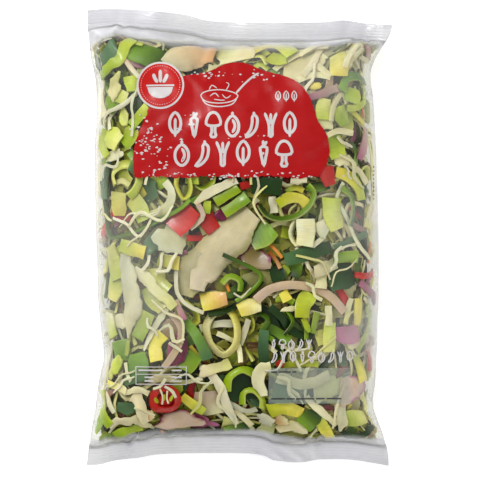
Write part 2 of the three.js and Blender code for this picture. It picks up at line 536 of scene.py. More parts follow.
class Film:
    """The filled film, and the way from a place in it, (s, t, h) in mm, to a point in space."""

    TIMES = 4  # finer than the simulation's grid
    FITTED = (50, 130)  # where along the bag the fit to the seals' outline sets in and is full

    def __init__(self, tube, grid, seal_depth):
        points = grid / MM
        points[:, :, 2] = np.maximum(points[:, :, 2] - SIM_FLOOR_GAP / MM, 0)
        x, y = points[:, :, 0], points[:, :, 1]
        seal = seal_depth / MM
        for end, sign, table in ((-1, 1, TOP_EDGE), (0, -1, BOTTOM_EDGE)):
            short = end_edge(table, x[:, end]) - sign * seal - y[:, end]
            y += soft_step(sign * y, *self.FITTED) * short[:, None]
        x[:] = fitted(x, y, x.min(0), x.max(0))
        fine = cubic(points, self.TIMES, True)
        fine = cubic(fine.transpose(1, 0, 2), self.TIMES, False).transpose(1, 0, 2)
        fine[:, :, 2] = np.maximum(fine[:, :, 2], 0)
        self.points = fine
        self.count = fine.shape[:2]
        self.girth = 2 * tube.width / MM
        self.length = tube.length / MM
        self.normals = self._normals(fine)
        self.inward, self.room = self._inward(fine)
        self.upper = self._upper_tree()

    @staticmethod
    def _normals(points):
        around = np.roll(points, -1, 0) - np.roll(points, 1, 0)
        along = np.gradient(points, axis=1)
        normals = np.cross(around, along)
        size = np.linalg.norm(normals, axis=2, keepdims=True)
        return normals / np.maximum(size, 1e-9)

    @staticmethod
    def _inward(points):
        """Which way the middle of the filling lies, and how far, seen from each place."""
        mirror = np.roll(points[::-1], 1, 0)
        middle = (points + mirror) / 2
        # Near the sides and the ends it is drawn in, so that nothing lies in the very fold
        x, y = middle[:, :, 0], middle[:, :, 1]
        middle[:, :, 0] -= np.sign(x) * 12 * soft_step(np.abs(x), 52, 92)
        middle[:, :, 1] -= np.sign(y) * 6 * soft_step(np.abs(y), 105, 135)
        way = middle - points
        room = np.linalg.norm(way, axis=2)
        return way / np.maximum(room, 1e-6)[:, :, None], np.maximum(room, 0.5)

    def _upper_tree(self):
        """Finds the place in the upper film from a point seen from above."""
        top = range(2, self.count[0] // 2 - 1, 2)
        spots = [(i, j) for i in top for j in range(0, self.count[1], 2)]
        tree = kdtree.KDTree(len(spots))
        for number, (i, j) in enumerate(spots):
            x, y, _ = self.points[i, j]
            tree.insert((x, y, 0), number)
        tree.balance()
        self.spots = spots
        return tree

    def _at(self, field, s, t):
        """A field of the grid at places between its points."""
        i = (np.asarray(s, float) / self.girth + 0.25) * self.count[0]
        j = (np.asarray(t, float) / self.length + 0.5) * (self.count[1] - 1)
        j = np.clip(j, 0, self.count[1] - 1.001)
        i0, j0 = np.floor(i).astype(int), np.floor(j).astype(int)
        a, b = i - i0, j - j0
        if field.ndim == 3:
            a, b = a[..., None], b[..., None]
        i0 %= self.count[0]
        i1 = (i0 + 1) % self.count[0]
        lower = field[i0, j0] * (1 - a) + field[i1, j0] * a
        upper = field[i0, j0 + 1] * (1 - a) + field[i1, j0 + 1] * a
        return lower * (1 - b) + upper * b

    def point(self, s, t):
        return self._at(self.points, s, t)

    def normal(self, s, t):
        return self._at(self.normals, s, t)

    def squeezed(self, s, t, h):
        """How deep h really lies: less where the film has little room under it."""
        room = self._at(self.room, s, t)
        return room * (1 - np.exp(-np.asarray(h) / room))

    def inside(self, s, t, h):
        """The point at depth h."""
        depth = self.squeezed(s, t, h)
        return self.point(s, t) + self._at(self.inward, s, t) * depth[..., None]

    def place(self, x, y):
        """(s, t) of the upper film under (x, y), as seen from above."""
        near = self.upper.find_n((x, y, 0), 3)
        weights = [1 / (found[2] + 0.05) for found in near]
        i, j = (
            sum(w * self.spots[found[1]][axis] for w, found in zip(weights, near)) / sum(weights)
            for axis in (0, 1)
        )
        return (
            (i / self.count[0] - 0.25) * self.girth,
            (j / (self.count[1] - 1) - 0.5) * self.length,
        )


# ---------------------------------------------------------------------------------------------
# Shapes of the pieces


def arrays(mesh):
    """A bmesh's vertices and faces, and frees it."""
    mesh.verts.index_update()
    verts = np.array([v.co for v in mesh.verts])
    faces = [[v.index for v in f.verts] for f in mesh.faces]
    mesh.free()
    return verts, faces


@functools.lru_cache(maxsize=None)
def tube_form(sides, rings, loop):
    """A tube of unit girth: x and y on the unit circle and z from 0 to 1 along it. A looped one
    has its far ring joined to its first."""
    mesh = bmesh.new()
    bmesh.ops.create_grid(mesh, x_segments=sides, y_segments=rings, size=0.5)
    for vert in mesh.verts:
        angle = math.tau * (vert.co.x + 0.5 + 0.5 / sides)
        vert.co = (math.cos(angle), math.sin(angle), vert.co.y + 0.5)
    bmesh.ops.remove_doubles(mesh, verts=mesh.verts, dist=1e-5)
    if loop:
        for vert in mesh.verts:
            turn = math.tau * vert.co.z
            reach = 3 + vert.co.x
            vert.co = (reach * math.cos(turn), reach * math.sin(turn), vert.co.y)
        bmesh.ops.remove_doubles(mesh, verts=mesh.verts, dist=1e-5)
        bmesh.ops.recalc_face_normals(mesh, faces=mesh.faces)
        for vert in mesh.verts:
            turn = math.atan2(vert.co.y, vert.co.x) % math.tau
            reach = math.hypot(vert.co.x, vert.co.y) - 3
            vert.co = (reach, vert.co.z, round(turn / math.tau * rings) % rings / rings)
    else:
        bmesh.ops.holes_fill(mesh, edges=mesh.edges, sides=sides)
        bmesh.ops.recalc_face_normals(mesh, faces=mesh.faces)
    return arrays(mesh)


@functools.lru_cache(maxsize=None)
def lens_form(segments, rings):
    """A flattened ball: x and y in the unit disc and z at 1 above and -1 below."""
    mesh = bmesh.new()
    bmesh.ops.create_uvsphere(mesh, u_segments=segments, v_segments=rings, radius=1)
    bmesh.ops.recalc_face_normals(mesh, faces=mesh.faces)
    return arrays(mesh)


def smooth_path(points, count, loop=False):
    """Evenly counted points on a smooth curve through the given ones."""
    points = np.asarray(points, float)
    if len(points) == 2:
        points = np.array([points[0], points.mean(0), points[1]])
    dense = cubic(points, 12, loop)
    if loop:
        dense = np.vstack([dense, dense[:1]])
    steps = np.r_[0, np.cumsum(np.linalg.norm(np.diff(dense, axis=0), axis=1))]
    wanted = np.linspace(0, steps[-1], count + 1)
    if loop:
        wanted = wanted[:-1]
    path = np.stack([np.interp(wanted, steps, dense[:, k]) for k in range(2)], 1)
    return path, steps[-1]


class Cut:
    """How one kind of vegetable is cut: its object, its thickness and the form of its edges."""

    def __init__(self, piece, thick, square, edge, stiff):
        self.piece = piece
        self.thick = thick
        self.square = square  # 2 is a round section, more is a squarer one
        self.edge = edge  # how much paler its cut edges are
        self.stiff = stiff  # mm over which it keeps straight


CUTS = {
    "leek": Cut("leek_pieces", 1.7, 7, 0.35, 6),
    "leaf": Cut("leek_leaves", 0.9, 6, 0.15, 5),
    "shred": Cut("cabbage_shreds", 1.3, 3, 0.1, 4),
    "cabbage": Cut("cabbage_leaves", 1.8, 3, 0.0, 7),
    "onion": Cut("onion_slices", 2.0, 5, 0.0, 8),
    "pepper": Cut("pepper_slices", 2.4, 4, 0.0, 8),
    "mushroom": Cut("mushrooms", 4.0, 3, 0.0, 14),
    "carrot": Cut("carrot_slivers", 1.6, 5, 0.0, 8),
}


class Pile:
    """The pieces, laid from the film inwards, and how deep each cell of the film is taken up."""

    CELL = 2.0  # mm, of the raster that keeps how deep the film is taken up
    GAP = 0.25  # mm between a piece and those over it
    LEAST_DEPTH = 0.15
    SIDE_GAP = 1.8  # more room under the folds at the sides
    SHADE = np.array((0.6, 0.57, 0.9))  # painted shade: how much darker the deepest pieces are coloured, by channel
    SHADE_FROM = 3.0  # and from what depth on
    RIGHT_SHADE = 0.4  # how much less of that there is at the right of the bag
    ENDS = (-136, 134)  # where along the bag the filling ends
    DROP = 7.0  # and how much sooner it ends at the upper left
    BUNCH = 3.0  # how much further the last pieces may reach

    def __init__(self, film, palette, fill_depth, seed):
        self.film = film
        self.palette = palette
        self.limit = fill_depth
        self.random = np.random.default_rng(seed)
        self.shape = (round(film.girth / self.CELL), round(film.length / self.CELL) + 1)
        self.used = np.zeros(self.shape)
        self.first = np.full(self.shape, 99.0)
        self.pieces = {}

    # Where things go

    def cell(self, s, t):
        i = np.floor(np.asarray(s) / self.CELL).astype(int)
        j = np.floor((np.asarray(t) + self.film.length / 2) / self.CELL).astype(int)
        return i, np.clip(j, 0, self.shape[1] - 1)

    def _wrap(self, s, t):
        i, j = self.cell(s, t)
        return i % self.shape[0], j

    def settle(self, verts, samples, top, stiff, limit):
        """Sinks a piece under what already lies there, bending it over the given stiffness."""
        i, j = self.cell(samples[:, 0], samples[:, 1])
        pad = max(1, round(stiff / self.CELL))
        i0, j0 = i.min() - pad, j.min() - pad
        size = (i.max() - i0 + pad + 1, j.max() - j0 + pad + 1)
        near = np.full(size, 99.0)
        far = np.full(size, -99.0)
        np.minimum.at(near, (i - i0, j - j0), samples[:, 2])
        np.maximum.at(far, (i - i0, j - j0), samples[:, 2])
        inside = near < 99
        rows = (np.arange(i0, i0 + size[0]) % self.shape[0])[:, None]
        columns = np.clip(np.arange(j0, j0 + size[1]), 0, self.shape[1] - 1)[None, :]
        taken = self.used[rows, columns]
        need = np.where(inside, np.where(taken > 0, taken + self.GAP - near, 0), -99)
        need = np.where(inside, np.maximum(need, top), -99)
        if need[inside].min() > limit:
            return None
        shift = np.maximum(spread(need, pad), need[inside].min())
        shift = np.minimum(blurred(shift, pad), limit)
        new_used = np.where(inside, shift + far, 0)
        np.maximum.at(self.used, (rows, columns), new_used)
        x = verts[:, 0] / self.CELL - i0 - 0.5
        y = (verts[:, 1] + self.film.length / 2) / self.CELL - j0 - 0.5
        return verts[:, 2] + sampled(shift, x, y)

    def keep(self, cut, verts, faces, tint, grain, top, limit=None):
        """Lays a piece, and keeps it unless the bag is full there."""
        limit = limit or self.limit
        centres = np.array([verts[f].mean(0) for f in faces])
        depth = self.settle(verts, np.vstack([verts, centres]), top, cut.stiff, limit)
        if depth is None:
            return
        depth = np.maximum(depth, self.LEAST_DEPTH)
        s, t = verts[:, 0], self.held(verts[:, 0], verts[:, 1])
        real = self.film.squeezed(s, t, depth)
        np.minimum.at(self.first, self._wrap(s, t), real)
        middles = np.array([real[f].mean() for f in faces])
        where = self._wrap(centres[:, 0], self.held(centres[:, 0], centres[:, 1]))
        np.minimum.at(self.first, where, middles)
        side = self.SIDE_GAP * bell((np.abs(wrapped(s, self.film.girth)) - 100) / 14)
        points = self.film.inside(s, t, depth + side)
        # Painted shade: the deeper a piece lies, the darker and more saturated its colours, less
        # so at the right of the bag
        less = self.RIGHT_SHADE * soft_step(wrapped(s, self.film.girth), 20, 60)
        deep = (soft_step(depth, self.SHADE_FROM, self.limit) * (1 - less))[:, None]
        tint = tint ** (1 + 0.4 * deep) * (1 - deep * self.SHADE)
        self.pieces.setdefault(cut.piece, []).append((points, faces, tint, grain))

    def held(self, s, t):
        """Keeps pieces off the seals: past the edge of the filling they bunch up softly."""
        turned = wrapped(s, self.film.girth)
        across = np.sign(turned) * (100 - np.abs(100 - np.abs(turned)))
        low, high = self.ENDS
        high = high - self.DROP * (1 - soft_step(across, -50, 10))
        over, under = np.maximum(t - high, 0), np.maximum(low - t, 0)
        return np.clip(t, low, high) + self.BUNCH * (np.tanh(over / 9) - np.tanh(under / 9))

    # What goes there

    def tints(self, name, along, across):
        """The piece's colours: one tint, or two from its start to its end, a little uneven."""
        names = name.split("/")
        first = np.array(self.palette[names[0]])
        last = np.array(self.palette[names[-1]])
        first = first * (1 + self.random.normal(0, 0.05, 3) * [0.6, 0.5, 1])
        share = np.clip(along, 0, 1)[:, None]
        light = 1 + self.random.normal(0, 0.09) + 0.1 * np.sin(
            along * 4 + across * 2 + self.random.uniform(0, 6))[:, None]
        return np.clip((first * (1 - share) + last * share) * light, 0, 1)

    def strip(self, kind, tint, width, path, roll=0, thick=None, top=0.0, taper=(0, 0), bow=0.0,
              loop=False, limit=None, wave=0.0, folds=0.0):
        """A band along a path: flat under the film at a roll of 0, and on edge at 90 degrees."""
        cut = CUTS[kind]
        if kind == "cabbage":
            wave, folds = wave or 0.9, folds or 0.14
        thick = thick or cut.thick
        rough = np.asarray(path, float)
        span = np.linalg.norm(np.diff(rough, axis=0), axis=1).sum()
        pitch = 3.0 if kind == "shred" and width > 3 else 2.5
        rings = int(np.clip(span / pitch, 5, 26))
        line, span = smooth_path(path, rings, loop)
        sides = 20 if width > 18 or (folds and width > 7) else 6 if width < 3 else 8
        sides = 10 if sides == 8 and kind == "leek" else sides
        unit, faces = tube_form(sides, rings, loop)
        along = unit[:, 2]
        ring = np.rint(along * rings).astype(int)
        if wave:
            offset = self.random.normal(0, wave, (len(line), 2))
            line = line + (offset + np.roll(offset, 1, 0) + np.roll(offset, -1, 0)) / 3
        tangent = np.roll(line, -1, 0) - np.roll(line, 1, 0)
        if not loop:
            tangent[0], tangent[-1] = line[1] - line[0], line[-1] - line[-2]
        tangent /= np.maximum(np.linalg.norm(tangent, axis=1, keepdims=True), 1e-6)
        side = np.stack([-tangent[:, 1], tangent[:, 0]], 1)
        power = 2 / cut.square
        a = np.sign(unit[:, 0]) * np.abs(unit[:, 0]) ** power
        c = np.sign(unit[:, 1]) * np.abs(unit[:, 1]) ** power
        start = 1 - taper[0] * (1 - soft_step(along, 0, 0.35))
        end = 1 - taper[1] * soft_step(along, 0.65, 1)
        swell = 1 + 0.07 * np.sin(along * self.random.uniform(3, 9) + self.random.uniform(0, 6))
        half = width / 2 * start * end * swell
        rolls = np.radians(np.broadcast_to(roll, 2).astype(float))
        angle = rolls[0] + (rolls[1] - rolls[0]) * along
        torn = self.random.normal(0, 0.07 if kind in ("cabbage", "shred") else 0.015,
                                  (2, len(line)))
        half = half * (1 + torn[(a > 0).astype(int), ring])
        out = a * half
        up = c * thick / 2 * np.minimum(1, 0.35 + start * end) + bow * (1 - a * a)
        if folds:
            drift = 1.6 * np.sin(along * 4.2 + width)
            up = up + folds * (np.sin(a * 6.5 + drift) + 0.5 * np.sin(a * 13 - 2 * drift)
                               + 0.6 * np.sin(along * 15 + 3 * a))
        lateral = out * np.cos(angle) - up * np.sin(angle)
        depth = out * np.sin(angle) + up * np.cos(angle)
        verts = np.column_stack([line[ring] + side[ring] * lateral[:, None], depth])
        verts[:, 2] -= verts[:, 2].min()
        grain = np.column_stack([along * span, out, up])
        colours = self.tints(tint, along, a)
        pale = (np.abs(a) > 0.985)[:, None] * cut.edge
        colours = colours * (1 - pale) + np.array(self.palette["pale"]) * pale
        self.keep(cut, verts, faces, colours, grain, top, limit)

    def slab(self, kind, tint, centre, size, turn=0, thick=None, top=0.0):
        """A short piece cut square, with its veins across it and a curl in it."""
        angle = math.radians(turn if size[0] > size[1] else turn + 90)
        reach, width = max(size) / 2, min(size)
        ahead = np.array([math.cos(angle), math.sin(angle)])
        aside = np.array([-ahead[1], ahead[0]])
        curl = self.random.normal(0, 0.12) * reach
        path = [centre - ahead * reach, centre + aside * curl, centre + ahead * reach]
        ends = self.random.uniform(0, 0.25, 2)
        bow = self.random.uniform(-0.15, 0.05) * width
        self.strip(kind, tint, width, path, thick=thick, top=top, taper=ends, bow=bow,
                   roll=self.random.normal(0, 7))

    def plate(self, kind, tint, centre, size, turn=0, outline="oval", thick=None, top=0.0,
              rim=None, wave=0.0):
        """A flat piece of the given outline. rim tints its round edge, as an onion's skin."""
        cut = CUTS[kind]
        rag = 0.04
        if kind == "cabbage":
            rag, wave, thick = 0.09, wave or 0.5, thick or 1.1
        thick = thick or cut.thick
        big = max(size) > 26
        unit, faces = lens_form(*(32, 12) if big else (22, 8))
        reach = np.hypot(unit[:, 0], unit[:, 1])
        theta = np.arctan2(unit[:, 1], unit[:, 0])
        radius, lift = OUTLINES[outline](theta)
        phases = self.random.uniform(0, math.tau, 4)
        ragged = 1 + rag * sum(
            np.sin(theta * k + phase) for k, phase in zip((2, 3, 5, 9), phases)
        )
        x = reach * radius * np.cos(theta) * ragged * size[0] / 2
        y = (reach * radius * np.sin(theta) * ragged + lift) * size[1] / 2
        form_side = np.sign(unit[:, 2])
        edge = np.clip(1 - reach ** 6, 0, 1) ** 0.5
        swirl = wave * np.sin(x * 0.45 + phases[0]) * np.cos(y * 0.4 + phases[1])
        depth = swirl - form_side * edge * thick / 2
        angle = math.radians(turn)
        across = x * math.cos(angle) - y * math.sin(angle)
        upward = x * math.sin(angle) + y * math.cos(angle)
        verts = np.column_stack([centre[0] + across, centre[1] + upward, depth])
        verts[:, 2] -= verts[:, 2].min()
        colours = self.tints(tint, (x / size[0] + 0.5), y / size[1])
        if rim:
            skin = soft_step(reach * np.where(np.sin(theta) > -0.25, 1, 0.5), 0.8, 0.93)[:, None]
            colours = colours * (1 - skin) + np.array(self.palette[rim]) * skin
        grain = np.column_stack([y if outline != "half" else reach * size[1] / 2, x, depth])
        self.keep(cut, verts, faces, colours, grain, top)


def spread(values, cells):
    """The highest value within so many cells."""
    for axis in (0, 1):
        rows = [np.roll(values, k, axis) for k in range(-cells, cells + 1)]
        values = np.max(rows, axis=0)
    return values


def blurred(values, cells):
    """The mean over so many cells, level outside the edges."""
    padded = np.pad(values, cells, mode="edge")
    for axis in (0, 1):
        rows = [np.roll(padded, k, axis) for k in range(-cells, cells + 1)]
        padded = np.mean(rows, axis=0)
    return padded[cells:-cells, cells:-cells]


def sampled(values, x, y):
    """Values between the cells of a small grid."""
    x = np.clip(x, 0, values.shape[0] - 1.001)
    y = np.clip(y, 0, values.shape[1] - 1.001)
    i, j = np.floor(x).astype(int), np.floor(y).astype(int)
    a, b = x - i, y - j
    low = values[i, j] * (1 - a) + values[i + 1, j] * a
    high = values[i, j + 1] * (1 - a) + values[i + 1, j + 1] * a
    return low * (1 - b) + high * b


def oval(theta):
    return np.ones_like(theta), 0.0


def half_moon(theta):
    """Half a disc, seen from a point a little over its cut edge. It fills its size both ways."""
    middle = 0.42
    dx, dy = np.cos(theta), np.sin(theta) * 0.5
    b = dx * 0 + 2 * middle * dy
    a = dx * dx + dy * dy
    arc = (-b + np.sqrt(b * b + 4 * a * (1 - middle * middle))) / (2 * a)
    cut = np.where(dy < -1e-6, middle / np.maximum(-dy, 1e-6), 99)
    return np.minimum(arc, cut), middle * 2 - 1


def wedge(theta):
    """A leaf that narrows to a point on its right."""
    return 1 - 0.45 * bell((np.abs(theta) - 0.75) / 0.4), 0.0


OUTLINES = {"oval": oval, "half": half_moon, "wedge": wedge}


# ---------------------------------------------------------------------------------------------
# The pieces that show, as they lie in the bag


class Top:
    """Lays pieces at places given in the photograph's pixels."""

    def __init__(self, pile):
        self.pile = pile

    def spot(self, px, py):
        return self.pile.film.place(*in_mm(px, py))

    def strip(self, kind, tint, width, *path, **more):
        self.pile.strip(kind, tint, width, [self.spot(*p) for p in path], **more)

    def plate(self, kind, tint, centre, size, turn=0, **more):
        self.pile.plate(kind, tint, self.spot(*centre), size, turn, **more)

    def slab(self, kind, tint, centre, size, turn=0, **more):
        self.pile.slab(kind, tint, self.spot(*centre), size, turn, **more)


def lay_upper_left(top):
    strip, plate, slab = top.strip, top.plate, top.slab
    strip("leek", "lime/bright", 6.5, (134, 38), (125, 45), (117, 62), (98, 76))
    strip("leek", "lime", 3.5, (128, 38), (143, 43), roll=30)
    strip("mushroom", "fungus/peach", 25, (168, 66), (180, 58), (196, 54), (214, 54),
          taper=(0.5, 0.5), thick=4, bow=-1.2, folds=0.45, wave=0.5)
    plate("mushroom", "peach", (198, 46), (16, 7), 15, thick=2)
    strip("leek", "bright/lime", 5, (211, 45), (210, 57))
    slab("cabbage", "cream", (228, 50), (24, 24), 40)
    plate("cabbage", "cream", (224, 70), (22, 10), 10)
    strip("shred", "flesh/white", 4, (124, 60), (130, 68), (139, 78))
    slab("leaf", "green/dark", (148, 56), (26, 17), -18, top=1)
    slab("leaf", "blue", (107, 56), (16, 17), 30, top=1)
    plate("cabbage", "cream/pale", (114, 85), (20, 11), 58, outline="wedge")
    slab("leek", "lime", (131, 84), (10, 10), 10)
    strip("shred", "white", 3, (140, 90), (121, 106), (106, 113), (101, 124))
    slab("leek", "pale/lime", (118, 97), (10, 11), 70)
    slab("leek", "green/bright", (107, 104), (11, 12), 40)
    strip("leek", "lime/bright", 7.5, (149, 107), (139, 117), (131, 126))
    plate("leek", "lime/pale", (122, 117), (8, 13), 15, thick=2.4)
    slab("leaf", "dark", (130, 106), (18, 14), 20, top=1.5)
    strip("shred", "white", 3.5, (113, 108), (105, 116), (107, 130), top=1)
    slab("leek", "pale/lime", (110, 138), (14, 14), 60)
    slab("leek", "bright/lime", (127, 137), (12, 13), -30, thick=2.4)
    strip("leek", "lime", 6, (101, 130), (97, 145), (104, 156), roll=40)
    plate("cabbage", "white", (110, 155), (17, 8), 12)
    strip("leek", "green/blue", 6, (128, 152), (134, 160), (130, 172), roll=30)
    slab("leaf", "blue/dark", (102, 180), (8, 24), -4)


def lay_upper_right(top):
    strip, plate, slab = top.strip, top.plate, top.slab
    strip("leek", "yellow/lime", 9, (251, 49), (266, 42), (280, 44), (292, 54), thick=2.4)
    strip("shred", "cream/white", 5, (300, 56), (313, 46), (327, 42), taper=(0.3, 0.4))
    slab("cabbage", "white/cream", (240, 45), (20, 11), -12)
    plate("cabbage", "white/cream", (316, 44), (18, 9), -16, top=1)
    strip("shred", "cream", 5, (358, 44), (350, 55), (345, 68), taper=(0.4, 0.2))
    plate("cabbage", "cream/white", (357, 50), (14, 12), 50, top=1)
    slab("leek", "olive/lime", (277, 57), (12, 10), -8, thick=2.6)
    strip("leek", "pale", 5, (243, 62), (250, 56), (262, 56), (267, 64), roll=62)
    strip("leek", "lime", 5, (253, 70), (260, 64), (268, 70), roll=50, top=1)
    strip("shred", "cream", 6.5, (274, 70), (290, 57), (306, 50), (322, 44), taper=(0.3, 0.2))
    strip("shred", "cream", 5, (322, 44), (314, 62), (302, 76))
    strip("leaf", "blue/dark", 2.6, (348, 38), (341, 45), (334, 52), thick=1.4)
    slab("leek", "yellow/pale", (338, 64), (14, 17), 15, thick=2.4)
    strip("shred", "cream", 4, (313, 62), (322, 70), (331, 76))
    strip("shred", "cream", 4.5, (331, 77), (314, 75), (297, 81))
    plate("leek", "yellow", (315, 87), (9, 5), 8, thick=2.6)
    strip("onion", "skin/flesh", 4.8, (309, 98), (322, 94), (337, 88))
    strip("leek", "green/blue", 5.6, (342, 91), (349, 79), (360, 76), (369, 82), roll=25)
    slab("leek", "bright/lime", (355, 95), (11, 10), -6, thick=2.6)
    strip("leek", "lime", 4.5, (371, 85), (371, 97), (362, 107), (350, 108), roll=30)
    strip("shred", "cream", 3.6, (331, 121), (334, 105), (344, 94), (350, 104))
    slab("leek", "lime/pale", (324, 109), (10, 14), -8, thick=2.4)
    slab("leek", "bright/lime", (343, 116), (12, 12), 20, thick=2.4)
    strip("leek", "lime/yellow", 4.4, (345, 106), (357, 111), (369, 124), roll=20)
    plate("cabbage", "cream", (352, 58), (12, 22), -30, top=1)
    slab("cabbage", "cream", (303, 62), (26, 20), 30, top=2)
    plate("cabbage", "white", (324, 50), (16, 12), -20, top=2)
    slab("leaf", "dark", (308, 72), (18, 10), 30, top=2.5)
    strip("shred", "flesh/cream", 5, (341, 86), (338, 100), (331, 108), top=1.5)
    strip("shred", "cream", 4, (327, 136), (339, 131), (354, 133))
    slab("leek", "lime/bright", (337, 146), (13, 15), 12)
    slab("leek", "pale/lime", (352, 121), (11, 14), -25)
    strip("onion", "flesh/skin", 7, (371, 128), (367, 146), (360, 160), taper=(0.5, 0.4))
    strip("leaf", "dark/green", 5, (351, 143), (359, 152), (357, 166), roll=30)
    plate("cabbage", "cream", (345, 160), (14, 9), 20)
    slab("pepper", "red", (329, 176), (11, 13), 10)
    strip("leek", "yellow/lime", 8, (337, 172), (351, 177), (361, 188), (364, 200), thick=2.4)
    strip("shred", "cream", 5, (352, 163), (364, 172), (370, 184))


def lay_left(top):
    strip, plate, slab = top.strip, top.plate, top.slab
    strip("leaf", "dark/green", 4.5, (96, 181), (101, 211), (107, 236), (121, 236), (147, 226),
          (177, 211), (190, 200), roll=68, thick=1.5)
    strip("leek", "pale/lime", 7, (112, 186), (109, 174), (118, 165), (132, 166), (139, 178),
          (135, 190), (128, 197), roll=48, thick=2)
    strip("leek", "cream/pale", 4, (112, 183), (120, 181), (129, 186), roll=35)
    slab("leek", "yellow/pale", (117, 204), (12, 15), -4, thick=2.4)
    slab("leek", "lime/pale", (137, 209), (13, 18), 35, thick=2.4)
    slab("leek", "lime/yellow", (138, 193), (10, 8), 30)
    strip("shred", "white/cream", 6, (165, 182), (172, 192), (170, 204), (160, 212), (145, 214),
          taper=(0.2, 0.5), thick=2.2)
    slab("leaf", "blue", (151, 190), (13, 14), 10, top=0.8)
    strip("leek", "yellow/lime", 4, (178, 176), (177, 186), (184, 200), (191, 190), (189, 176),
          roll=62)
    strip("shred", "white", 2.6, (149, 200), (155, 209))
    slab("pepper", "red", (184, 219), (20, 14), 48)
    strip("pepper", "red", 6, (106, 211), (114, 217), (128, 216))
    strip("onion", "skin/flesh", 3, (109, 226), (116, 220), (123, 212))
    slab("onion", "flesh", (116, 226), (11, 9), 15, top=1.5)
    strip("shred", "flesh/white", 4, (198, 205), (203, 217), (190, 228), thick=1.8)
    strip("shred", "cream/white", 6.5, (195, 204), (206, 195), (221, 187), (237, 180),
          taper=(0.6, 0.1))
    strip("leek", "bright", 6.5, (215, 202), (225, 197), (238, 188), thick=2.6)
    strip("leek", "bright/green", 7.5, (224, 213), (235, 206), (247, 197), thick=2.6)
    strip("leek", "bright/lime", 5, (207, 214), (208, 201))
    plate("onion", "magenta", (222, 215), (9, 8), 20, top=0.6)
    slab("pepper", "red", (209, 223), (12, 12), 30, top=1)
    strip("shred", "cream", 3.4, (198, 219), (205, 235))
    strip("pepper", "red", 4, (187, 238), (200, 238), (214, 231), top=0.8)
    plate("cabbage", "white", (171, 238), (22, 20), 35, top=0.6, wave=0.6)
    strip("leek", "lime/yellow", 9, (119, 245), (145, 253), thick=2.4)
    plate("leaf", "blue", (155, 243), (13, 18), -30, outline="wedge")
    strip("shred", "white", 2, (173, 246), (163, 253), (161, 266), (156, 274))
    strip("shred", "white", 2.4, (150, 254), (148, 263), (143, 270))
    slab("leek", "olive/yellow", (169, 261), (14, 9), -12, thick=2.4)
    strip("onion", "magenta/skin", 3, (167, 252), (177, 254), (187, 252), top=0.5)
    strip("cabbage", "white/cream", 13, (121, 252), (127, 275), (132, 305), (126, 338),
          taper=(0.3, 0.85), thick=2.2, bow=-0.8)
    strip("cabbage", "white/pale", 8, (134, 268), (150, 282), (163, 296), (173, 307),
          taper=(0.3, 0.2), thick=2.2)
    slab("leek", "lime/pale", (109, 263), (14, 22), 15)
    slab("leek", "pale/lime", (108, 287), (15, 16), -10, thick=2.4)
    strip("shred", "white", 2.8, (177, 268), (177, 290), (187, 304), (204, 312))
    slab("leek", "lime/pale", (160, 281), (15, 18), 28, top=0.5)
    slab("leek", "pale/lime", (155, 298), (13, 18), 40, top=0.5)
    strip("onion", "flesh/skin", 4, (176, 300), (180, 309), (185, 319))
    strip("leek", "lime/bright", 10, (148, 312), (143, 324), (137, 338), thick=2.4)
    strip("shred", "white", 4, (167, 308), (157, 323), (144, 350), taper=(0, 0.6))


